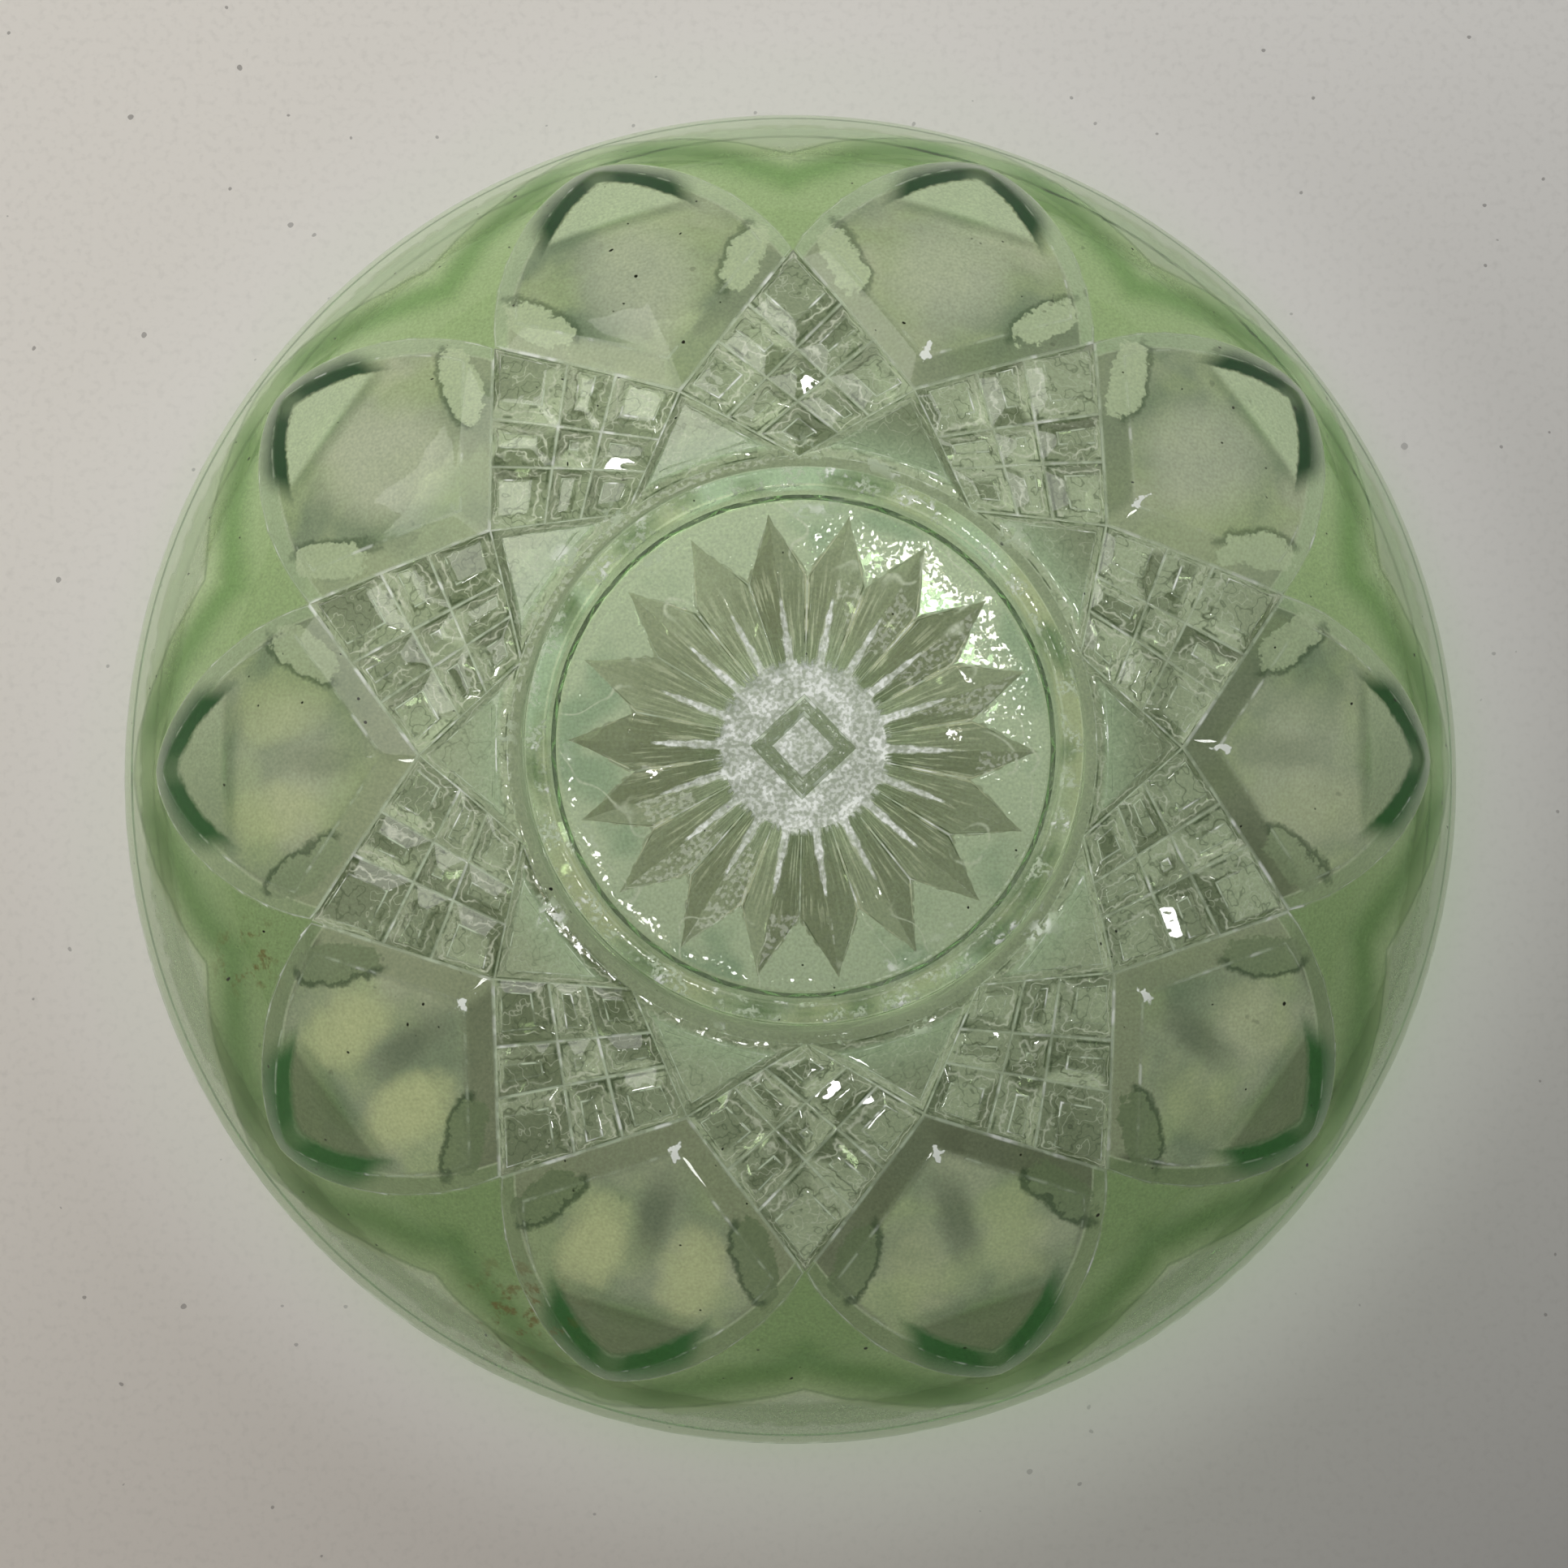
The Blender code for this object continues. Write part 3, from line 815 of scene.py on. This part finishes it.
def patch_tints(g, colour, place, ragged, uneven, lit):
    """Painted ragged patch of reflected light in each side corner, with a dark inner edge of painted shade.
    """
    ahead, beside = g.sub(place.along, PATCH_CENTRE[0]), g.sub(place.across, PATCH_CENTRE[1])
    u = g.add(g.mul(ahead, PATCH_COSINE), g.mul(beside, PATCH_SINE))
    v = g.sub(g.mul(beside, PATCH_COSINE), g.mul(ahead, PATCH_SINE))
    reach = g.oval(u, v, (0.0, 0.0), PATCH_HALVES, PATCH_POWER)
    reach = g.add(g.add(reach, g.mul(ragged, 2.2)), uneven)
    patch = g.step(reach, 1.05, 0.85)
    colour = g.blend(g.mul(patch, 0.8), colour, g.blend(lit, *PATCH))
    ring = g.mul(g.step(reach, 0.7, 1.0), g.step(reach, 2.0, 1.1), g.step(v, 0.1, -0.6))
    return g.blend(g.mul(ring, g.sub(0.8, g.mul(lit, 0.25))), colour, PATCH_EDGE)


def crescent_shade_tints(g, colour, place, past, lit):
    """Painted shade: deep green crescents along the arch, either side of the petal's tip."""
    fade = g.add(g.sub(2.4, g.mul(lit, 0.5)), g.mul(place.angle, 0.09))
    share = g.math("DIVIDE", past, fade)
    ends = g.mul(g.step(place.angle, 9.2, 6.2), g.add(0.8, g.mul(g.step(place.angle, 0.2, 2.0), 0.2)))
    crescent = g.mul(g.step(past, g.sub(g.mul(lit, 0.5), 0.6), 0.3), g.step(share, 1.9, 0.45), ends)
    return g.blend(crescent, colour, g.blend(lit, *CRESCENT_SHADE))


def petal_tints(g, colour, place, lit):
    """Painted light and shade on the petal's curved face: crescents, wedge, patches and pools of light."""
    ragged = g.wobble(1500, 0.9, detail=4.0, rough=0.7)
    uneven = g.wobble(330, 2.6)
    inset = arch_inset(g, place)
    inner_edge = g.add(CRESCENT_SHADE_INSET, g.mul(place.angle, CRESCENT_SHADE_SPREAD))
    wavering = g.mul(g.add(ragged, g.mul(uneven, 0.25)), 0.8)
    past = g.sub(g.add(inner_edge, wavering), inset)
    colour = arch_tints(g, colour, inset, lit)
    colour = glow_tints(g, colour, place, ragged, uneven, lit)
    colour = tip_tints(g, colour, place, past, lit)
    colour = patch_tints(g, colour, place, ragged, uneven, lit)
    return crescent_shade_tints(g, colour, place, past, lit)


def field_tints(g, place, rise, tone, cloud, lit):
    """Clouded face of a petal, with a painted highlight in its middle, its bevels toned side by side with
    painted light and shade.
    """
    shifted = g.node("VectorMath", g.spot, (1, 0, 0), operation="ADD").outputs[0]
    blot = g.step(g.noise(150, vector=shifted), 0.4, 0.65)
    field = g.blend(cloud, FIELD_DARK, FIELD_LIGHT)
    field = g.blend(g.mul(blot, 0.6), field, FIELD_BLOT)
    away = g.oval(place.along, place.across, FIELD_HIGHLIGHT_CENTRE, (1.0, 1.0))
    middle = g.mul(g.step(away, 48.0, 2.0), g.add(0.05, g.mul(lit, 0.65)))
    field = g.blend(middle, field, FIELD_HIGHLIGHT)
    sheen = g.add(g.sub(0.55, g.mul(lit, 0.3)), g.mul(g.noise(170), 0.6))
    bevel = g.blend(tone, g.blend(lit, *BEVEL_SHADE), g.blend(lit, *BEVEL_LIT))
    field = g.blend(g.mul(g.step(rise, 1.24, 0.80), sheen), field, bevel)
    return petal_tints(g, field, place, lit)


def swing_of(g, angle):
    """0 on a petal's axis, 1 between two petals."""
    return g.math("POWER", g.mul(angle, 1 / math.degrees(HALF)), SWING_POWER)


def border_of(g, place, drift):
    """Radius at which the painted pale band of light by the rim begins; it waves in and out between the
    petals.
    """
    return g.add(g.sub(BORDER_RADIUS, g.mul(swing_of(g, place.angle), BORDER_SWING)), drift)


def plain_tints(g, place, lit):
    """Painted light and shade of the smooth wall from refraction: waves of deep green shade beside each
    arch, a pale band of light next to the rim, and a shade line at its border.
    """
    drift = g.wobble(120, 1.8)
    pale = g.blend(g.step(place.radius, 50.0, 56.5), g.blend(lit, *WALL_NEAR), g.blend(lit, *WALL_FAR))
    wave = g.add(g.sub(WAVE_RADIUS, g.mul(swing_of(g, place.angle), WAVE_SWING)), drift)
    strength = g.add(0.35, g.mul(g.step(place.angle, 0.5, 5.0), 0.55))
    colour = g.blend(g.mul(g.bump_at(place.radius, wave, 2.9), strength), pale, g.blend(lit, *WALL_WAVE_SHADE))
    border = border_of(g, place, g.mul(drift, 0.6))
    edge = g.step(g.sub(place.radius, border), -0.1, 0.3)
    colour = g.blend(g.mul(edge, 0.85), colour, g.blend(lit, *RIM_PALE_LIGHT))
    return g.blend(g.mul(g.bump_at(place.radius, border, 0.22), 0.5), colour, RIM_SHADE_LINE)


def block_tints(g, colour, place, rise, block):
    """Painted light and shade of the small facets: wiry bright and dark lines that they break their light
    into, shade beside the crests, a highlight on the star points' lobes, and broken highlight outlines.
    """
    wires = g.noise(560)
    gaps = g.step(g.noise(260), 0.40, 0.55)
    wavering = g.add(rise, g.wobble(640, 1.5))
    dark = g.mul(g.bump_at(wires, 0.43, 0.03), block)
    colour = g.blend(g.mul(dark, 0.5), colour, WIRE_DARK)
    beside = g.mul(g.bump_at(wavering, 0.85, 0.14), g.sub(1.0, gaps), block)
    colour = g.blend(g.mul(beside, 0.7), colour, BESIDE_SHADE)
    star_only = g.bump_at(block, STAR_SHARE, 0.25)
    lobe = g.mul(g.step(place.radius, *LOBE_HIGHLIGHT_RADII), star_only, g.step(rise, 0.5, 1.0))
    colour = g.blend(g.mul(lobe, 0.55), colour, LOBE_HIGHLIGHT)
    bright = g.mul(g.bump_at(wires, 0.56, 0.018), block)
    colour = g.blend(g.mul(bright, 0.5), colour, PAINTED_HIGHLIGHT)
    outline = g.mul(g.bump_at(wavering, 0.55, 0.13), gaps, block)
    return g.blend(g.mul(outline, 0.8), colour, PAINTED_HIGHLIGHT)


def ray_tints(g, colour, place):
    """Streaks of light and shade along the rays."""
    turn = g.math("ARCTAN2", place.y, place.x)
    fan = g.node("CombineXYZ", g.mul(turn, 9.0), g.mul(place.radius, 0.05), 0.0)
    streak = g.noise(5, 3.0, vector=fan.outputs[0])
    in_rays = g.mul(g.step(place.radius, 17.0, 12.0), g.step(place.radius, 6.8, 7.4))
    colour = g.blend(g.mul(g.step(streak, 0.52, 0.44), in_rays, 0.35), colour, RAY_DARK)
    return g.blend(g.mul(g.step(streak, 0.56, 0.64), in_rays, 0.7), colour, RAY_LIGHT)


def recess_tints(g, colour, place, rise, tone):
    """Mint floor with painted teal reflections, brown leaves with painted golden highlights on their edges,
    and painted curved strokes of light.
    """
    radius = place.radius
    inside = g.step(radius, *RECESS_RADII)
    on_floor = g.step(tone, 0.85, 0.95)
    recess = g.mul(g.step(radius, 14.5, 16.5), inside)
    colour = g.blend(g.mul(inside, on_floor, 0.4), colour, RECESS_MINT)
    teal = g.mul(g.step(g.noise(130), 0.5, 0.66), recess, on_floor)
    colour = g.blend(g.mul(teal, 0.6), colour, RECESS_TEAL_REFLECTION)
    edge = g.mul(g.step(rise, 0.26, 0.18), g.step(radius, 19.6, 18.8), g.step(radius, 8.0, 9.0))
    edge = g.mul(edge, g.step(g.noise(230), 0.47, 0.55))
    colour = g.blend(g.mul(edge, 0.9), colour, RAY_EDGE_LIGHT)
    leaf = g.mul(g.step(radius, 20.2, 19.4), g.step(radius, 7.0, 11.0), g.sub(1.0, on_floor))
    colour = g.blend(g.mul(leaf, 0.3), colour, LEAF)
    strokes = g.bump_at(g.noise(150, 1.0), 0.55, 0.014)
    broken = g.step(g.noise(560), 0.36, 0.48)
    return g.blend(g.mul(strokes, recess, broken, 0.7), colour, PAINTED_HIGHLIGHT)


def foot_tints(g, colour, place):
    """Foot ring, part golden and part mint, worn glass with painted sheen, with a broken painted highlight
    line along each edge and painted shade along its middle.
    """
    radius = place.radius
    low = g.step(place.height, 5.2, 4.2)
    gaps = g.step(g.noise(150), 0.35, 0.6)
    gold = g.step(g.noise(60, 1.0), 0.42, 0.58)
    bright = g.blend(gold, RING_MINT, RING_GOLD)
    ring = g.mul(low, g.step(radius, 21.2, 21.5), g.step(radius, 23.6, 23.2))
    colour = g.blend(g.mul(ring, 0.75), colour, g.blend(gaps, RING_DARK, bright))
    for line_radius, half, share in RING_EDGES:
        edge = g.mul(g.bump_at(radius, line_radius, half), low, g.add(0.3, g.mul(gaps, 0.7)))
        colour = g.blend(g.mul(edge, share), colour, RING_HIGHLIGHT)
    shadow = g.mul(g.bump_at(radius, RING_MIDDLE, 0.28), low, g.sub(1.0, gaps))
    return g.blend(g.mul(shadow, 0.6), colour, RING_SHADOW)


def base_tints(g, place, rise, tone, block, cloud):
    """Everything inside the petals: blocks, star points, foot ring and rayed recess."""
    base = g.blend(cloud, BASE_DARK, BASE_LIGHT)
    # painted light and shade, facet by facet
    base = g.blend(0.65, base, g.blend(tone, FACET_SHADE, FACET_LIT))
    base = ray_tints(g, base, place)
    base = recess_tints(g, base, place, rise, tone)
    base = block_tints(g, base, place, rise, block)
    return foot_tints(g, base, place)


def residue(g, colour):
    """Brown dried marks in two places near the rim, and a few black specks."""
    streaks = g.step(g.noise(520, 4.0, 0.7), 0.52, 0.64)
    flat = g.node("VectorMath", g.spot, (1, 1, 0), operation="MULTIPLY").outputs[0]
    for x, y, size in RESIDUE:
        away = g.node("VectorMath", flat, (x * MM, y * MM, 0), operation="DISTANCE").outputs["Value"]
        near = g.step(away, size * MM, 0.2 * size * MM)
        colour = g.blend(g.mul(near, streaks, 0.75), colour, BROWN)
    return g.blend(g.step(g.noise(1500, 0.0), 0.86, 0.88), colour, BLACK)


def shade_of(g, place, lit):
    """Grain of the pressed surface, and the darker side away from the window."""
    grain = g.add(0.78, g.mul(g.noise(3800), 0.60))
    beyond = g.mul(g.step(place.radius, 23.0, 25.0), g.sub(0.03, g.mul(lit, 0.13)))
    return g.mul(grain, g.add(g.add(0.77, g.mul(lit, 0.23)), beyond))


def outside_tint(g, place, amounts):
    """Colour of the glass's outer surface, from its zones and facets, with painted light and shade, lighter
    on the window side.
    """
    rise, tone, petal = amounts.rise, amounts.tone, amounts.petal
    # painted light: the side towards the window is tinted lighter
    lit = g.step(place.y, 30.0, -30.0)
    cloud = g.step(g.noise(85, 3.0), 0.3, 0.7)
    base = base_tints(g, place, rise, tone, amounts.block, cloud)
    tint = g.blend(petal, base, field_tints(g, place, rise, tone, cloud, lit))
    tint = g.blend(amounts.plain, tint, plain_tints(g, place, lit))
    broken = g.step(g.noise(420), 0.5, 0.62)
    shadow_line = g.mul(g.bump_at(rise, 0.2, 0.13), broken, g.sub(1.0, petal))
    tint = g.blend(g.mul(shadow_line, 0.8), tint, SHADOW_LINE)
    shaded = g.node("VectorMath", tint, operation="SCALE")
    g.put(shaded.inputs["Scale"], shade_of(g, place, lit))
    # the shader takes the square root of a tint on each passage through the surface
    deep = g.node("Gamma", residue(g, shaded.outputs[0]), TINT_POWER)
    return g.blend(amounts.outside, PLAIN_WHITE, deep.outputs[0])


# ---- wear, painted highlights and relief of the glass

def corner_glint(g, place, petal):
    """1 on a small broken glint where the two side bevels of a petal meet."""
    ahead = g.math("ABSOLUTE", g.mul(g.sub(place.along, CORNER_ALONG), 0.75))
    away = g.add(g.add(ahead, g.mul(place.across, 1.4)), g.wobble(1300, 2.4))
    some = g.step(g.noise(45, 0.0), 0.42, 0.5)
    return g.mul(g.step(away, 0.8, 0.55), some, petal)


def wear_and_glint_amount(g, place, amounts):
    """How much of the surface is dull and pale: frost on the hub and wear on the foot ring, and painted
    highlights on the edges of the relief, on the rim, at the petals' inner corners and beside the foot ring.
    """
    radius, outside = place.radius, amounts.outside
    speck = g.noise(2600, 3.0)
    patchy = g.step(g.noise(500), 0.48, 0.6)
    flecks = g.step(g.noise(1100), 0.45, 0.55)
    scuffed = g.add(0.05, g.mul(patchy, g.step(speck, 0.42, 0.58), 0.75))
    foot_worn = g.mul(g.step(place.height, 0.6, 0.2), outside, scuffed)
    speckled = g.add(0.36, g.mul(g.step(speck, 0.42, 0.6), 0.45))
    frosted = g.mul(amounts.frost, speckled, g.add(0.8, g.mul(patchy, 0.6)))
    # painted highlights along the grooves and on the crests of the relief
    groove = g.mul(g.step(amounts.rise, 0.14, 0.03), outside, g.add(0.35, g.mul(patchy, 0.4)))
    on_crest = g.add(g.mul(patchy, 0.8), 0.15)
    crest = g.mul(g.bump_at(amounts.rise, EDGE, 0.1), on_crest, g.sub(1.0, g.mul(amounts.petal, 0.6)))
    # painted pale light over the rim
    border = border_of(g, place, g.wobble(120, 1.1))
    rim = g.mul(amounts.plain, g.step(g.sub(radius, border), 0.0, 0.8), 0.3)
    # painted glints at the petals' inner corners and on both sides of the foot ring
    corner = g.mul(corner_glint(g, place, amounts.petal), 0.85)
    beside = g.mul(g.bump_at(radius, 25.4, 1.9), g.step(g.noise(240, 4.0), 0.57, 0.62), flecks, 0.8)
    veil = g.mul(g.bump_at(radius, 20.0, 1.4), g.step(g.noise(190, 3.0), 0.56, 0.64), flecks, 0.5)
    near_ring = g.mul(g.larger(beside, veil), outside)
    return g.larger(foot_worn, frosted, groove, crest, rim, corner, near_ring)


def surface_bump(g, place, amounts):
    """Fine unevenness: stipple in the recess, swell on the walls, crumpling on the blocks."""
    in_recess = g.mul(g.step(place.radius, 20.6, 20.2), amounts.outside)
    stipple = g.mul(g.noise(1300, 1.0), in_recess, 0.13)
    swell = g.mul(g.noise(260), g.sub(0.2, g.mul(in_recess, 0.17)))
    rough = g.mul(g.noise(1800, 3.0), amounts.frost, 0.8)
    crumpled = g.mul(g.noise(600, 1.0), amounts.block, 0.5)
    bump = g.node("Bump")
    bump.inputs["Strength"].default_value = 1.0
    bump.inputs["Distance"].default_value = 0.12 * MM
    g.put(bump.inputs["Height"], g.add(g.add(stipple, swell), g.add(rough, crumpled)))
    return bump.outputs[0]


def clear_glass(g, place, amounts, normal):
    """Tinted refracting glass whose mirror light is broken up by pits near the foot."""
    glass = g.node("BsdfPrincipled")
    g.put(glass.inputs["Base Color"], outside_tint(g, place, amounts))
    g.put(glass.inputs["Roughness"], g.add(0.02, g.mul(amounts.frost, 0.3)))
    glass.inputs["IOR"].default_value = 1.52
    glass.inputs["Specular IOR Level"].default_value = 0.3
    glass.inputs["Transmission Weight"].default_value = 1.0
    near_foot = g.mul(amounts.outside, g.step(place.radius, 27.0, 25.0))
    pits = g.mul(g.step(g.noise(2400, 3.0), 0.54, 0.49), near_foot)
    dull = g.larger(pits, g.mul(amounts.petal, 0.5))
    g.put(glass.inputs["Specular Tint"], g.blend(dull, PLAIN_WHITE, PIT_TINT))
    g.put(glass.inputs["Normal"], normal)
    return glass.outputs[0]


def wear_and_glint_glass(g, place, amounts, normal):
    """Dull pale surface of frosted and scuffed places and of painted highlights, whitest in small painted
    glints.
    """
    glint = g.mul(g.step(g.noise(330, 1.0), 0.56, 0.64), g.sub(1.0, amounts.plain))
    whitest = g.larger(amounts.frost, glint, corner_glint(g, place, amounts.petal))
    white = g.node("BsdfDiffuse", g.blend(whitest, WEAR_AND_GLINT_DARK, WEAR_AND_GLINT_LIGHT))
    g.put(white.inputs["Normal"], normal)
    return white.outputs[0]


def glass_material():
    """Green pressed glass: tinted on its outside with painted light and shade, worn there and given painted
    highlights, clear to shadow rays.
    """
    g = Graph("uranium_glass_look")
    place = place_of(g)
    amounts = Amounts(*(g.amount(name) for name in Glass.AMOUNTS))
    normal = surface_bump(g, place, amounts)
    glass = clear_glass(g, place, amounts, normal)
    white = wear_and_glint_glass(g, place, amounts, normal)
    surface = g.node("MixShader", wear_and_glint_amount(g, place, amounts), glass, white)
    clear = g.node("BsdfTransparent", (0.98, 1.0, 0.96, 1))
    path = g.node("LightPath")
    passing = g.larger(path.outputs["Is Shadow Ray"], path.outputs["Is Diffuse Ray"])
    both = g.node("MixShader", passing, surface.outputs[0], clear.outputs[0])
    absorb = g.node("VolumeAbsorption", (0.22, 0.90, 0.15, 1), 13.0)
    g.node("OutputMaterial", both.outputs[0], absorb.outputs[0])
    return g.material


# ---- table

# Each pair is for the table's cool and warm side
TABLE_LIGHT = ((0.77, 0.745, 0.705), (0.76, 0.715, 0.65))
TABLE_DARK = ((0.235, 0.228, 0.21), (0.29, 0.24, 0.195))
TABLE_FAR = (0.52, 0.51, 0.48)
TABLE_CLOUD = (0.5, 0.48, 0.45)
TABLE_FIBRE = (0.2, 0.19, 0.17)
TABLE_SPECK = (0.12, 0.11, 0.10)
TABLE_HALO = (0.88, 0.86, 0.82)


def table_material():
    """Pale satin table, lighter and warmer towards one side as the window light falls off."""
    g = Graph("table_look")
    x, y, _ = g.parts(g.spot)
    across = g.sub(g.mul(y, 1.8), g.mul(x, 1.05))
    fall = g.node("MapRange", across, -0.24, 0.12, 0.0, 1.0).outputs[0]
    warmth = g.step(x, 0.08, -0.08)
    away = g.mul(g.math("SQRT", g.add(g.mul(x, x), g.mul(y, y))), 1 / MM)
    dark = g.blend(g.step(away, 110.0, 240.0), g.blend(warmth, *TABLE_DARK), TABLE_FAR)
    colour = g.blend(fall, dark, g.blend(warmth, *TABLE_LIGHT))
    colour = g.blend(g.mul(g.sub(g.noise(9, 4.0), 0.4), 0.25), colour, TABLE_CLOUD)
    fibre = g.math("MAXIMUM", g.sub(g.noise(1400, 3.0), 0.5), 0.0)
    colour = g.blend(g.mul(fibre, 0.5), colour, TABLE_FIBRE)
    colour = g.blend(g.mul(g.step(g.noise(900, 0.0), 0.85, 0.87), 0.6), colour, TABLE_SPECK)
    # light that the dish throws on the table round its rim
    colour = g.blend(g.mul(g.step(away, 76.0, 59.8), 0.26), colour, TABLE_HALO)
    shader = g.node("BsdfPrincipled", colour)
    shader.inputs["Roughness"].default_value = 0.55
    g.node("OutputMaterial", shader.outputs[0])
    return g.material


# ---- stage

# The stage's frame: x right and y up in the picture, z towards the camera, origin at the rim's plane
CAMERA_TURNS = (-3.82, 1.51, 0.56)
CAMERA_SHIFT = Vector((0.73, 0.82, -476.8)) * MM
SENSOR = 36.0
FOCAL_LENGTH = 121.118
WINDOW = ("window", (-0.6, 0.8, 1.1), 1.2, 13.2, (1.0, 0.985, 0.95))
WHITE_LIGHT = (1.0, 1.0, 1.0)
# Small lamps that make the glints: name, place, side and power
LAMPS = (
    ("lamp", (0.075, 0.122, 1.1), 0.045, 0.16, WHITE_LIGHT),
    ("left_lamp", (-0.5, -0.1, 0.9), 0.09, 0.8, WHITE_LIGHT),
    ("right_lamp", (0.6, 0.3, 0.8), 0.08, 0.7, WHITE_LIGHT),
    ("low_lamp", (0.1, -0.7, 0.8), 0.09, 0.8, WHITE_LIGHT),
)
SKY = (0.86, 0.90, 0.95, 1)
SKY_LIGHT = 0.22
SKY_SEEN = 0.62
BOUNCES = 24


def plane(name, size, material):
    bm = bmesh.new()
    bmesh.ops.create_grid(bm, x_segments=1, y_segments=1, size=size)
    mesh = bpy.data.meshes.new(name)
    bm.to_mesh(mesh)
    bm.free()
    item = bpy.data.objects.new(name, mesh)
    mesh.materials.append(material)
    bpy.context.scene.collection.objects.link(item)
    return item


def area_light(name, location, side, power, colour):
    """Square light that faces the origin."""
    data = bpy.data.lights.new(name, "AREA")
    data.shape = "RECTANGLE"
    data.size, data.size_y = side, side
    data.energy = power
    data.color = colour
    item = bpy.data.objects.new(name, data)
    item.location = location
    item.rotation_euler = (-Vector(location)).to_track_quat("-Z", "Y").to_euler()
    bpy.context.scene.collection.objects.link(item)
    return item


def camera_object():
    """Camera beneath the dish, looking up at its underside a few degrees off its axis."""
    data = bpy.data.cameras.new("camera")
    data.sensor_width = SENSOR
    data.lens = FOCAL_LENGTH
    data.clip_start, data.clip_end = 0.01, 10
    item = bpy.data.objects.new("camera", data)
    bpy.context.scene.collection.objects.link(item)
    bpy.context.scene.camera = item
    tilt_x, tilt_y, roll = (math.radians(a) for a in CAMERA_TURNS)
    turn = Matrix.Rotation(roll, 4, "Z") @ Matrix.Rotation(tilt_y, 4, "Y") @ Matrix.Rotation(tilt_x, 4, "X")
    camera_in_stage = (Matrix.Translation(CAMERA_SHIFT) @ turn).inverted()
    stage_to_row = Matrix.Translation((0, 0, HEIGHT)) @ Matrix.Rotation(math.pi, 4, "X")
    item.matrix_world = stage_to_row @ camera_in_stage
    return item


def follow_camera(rig, camera):
    """Turns the rig over, onto the rim's plane, whenever the camera is beneath the dish."""
    turn = rig.driver_add("rotation_euler", 0).driver
    lift = rig.driver_add("location", 2).driver
    for driver, value in ((turn, math.pi), (lift, HEIGHT)):
        driver.type = "SCRIPTED"
        variable = driver.variables.new()
        variable.name = "z"
        variable.type = "TRANSFORMS"
        variable.targets[0].id = camera
        variable.targets[0].transform_type = "LOC_Z"
        variable.targets[0].transform_space = "WORLD_SPACE"
        driver.expression = f"{value} if z < 0 else 0"


def studio_world():
    """Soft even light, seen brighter than it shines."""
    world = bpy.data.worlds.new("studio")
    bpy.context.scene.world = world
    world.use_nodes = True
    nodes, links = world.node_tree.nodes, world.node_tree.links
    background = nodes["Background"]
    background.inputs["Color"].default_value = SKY
    path = nodes.new("ShaderNodeLightPath")
    strength = nodes.new("ShaderNodeMapRange")
    strength.inputs["To Min"].default_value = SKY_LIGHT
    strength.inputs["To Max"].default_value = SKY_SEEN
    links.new(path.outputs["Is Camera Ray"], strength.inputs["Value"])
    links.new(strength.outputs[0], background.inputs["Strength"])


def stage(camera):
    floor = plane("floor", 1.5, table_material())
    rig = bpy.data.objects.new("stage_rig", None)
    bpy.context.scene.collection.objects.link(rig)
    for item in (floor, *(area_light(*light) for light in (WINDOW, *LAMPS))):
        item.parent = rig
    follow_camera(rig, camera)
    studio_world()


def view_settings():
    scene = bpy.context.scene
    scene.view_settings.view_transform = "Standard"
    scene.cycles.max_bounces = BOUNCES
    scene.cycles.transmission_bounces = BOUNCES
    scene.cycles.transparent_max_bounces = BOUNCES
    scene.cycles.glossy_bounces = BOUNCES // 2


dish = glass_object()
dish.data.materials.append(glass_material())
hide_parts("dish")
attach(dish, "root")
stage(camera_object())
view_settings()
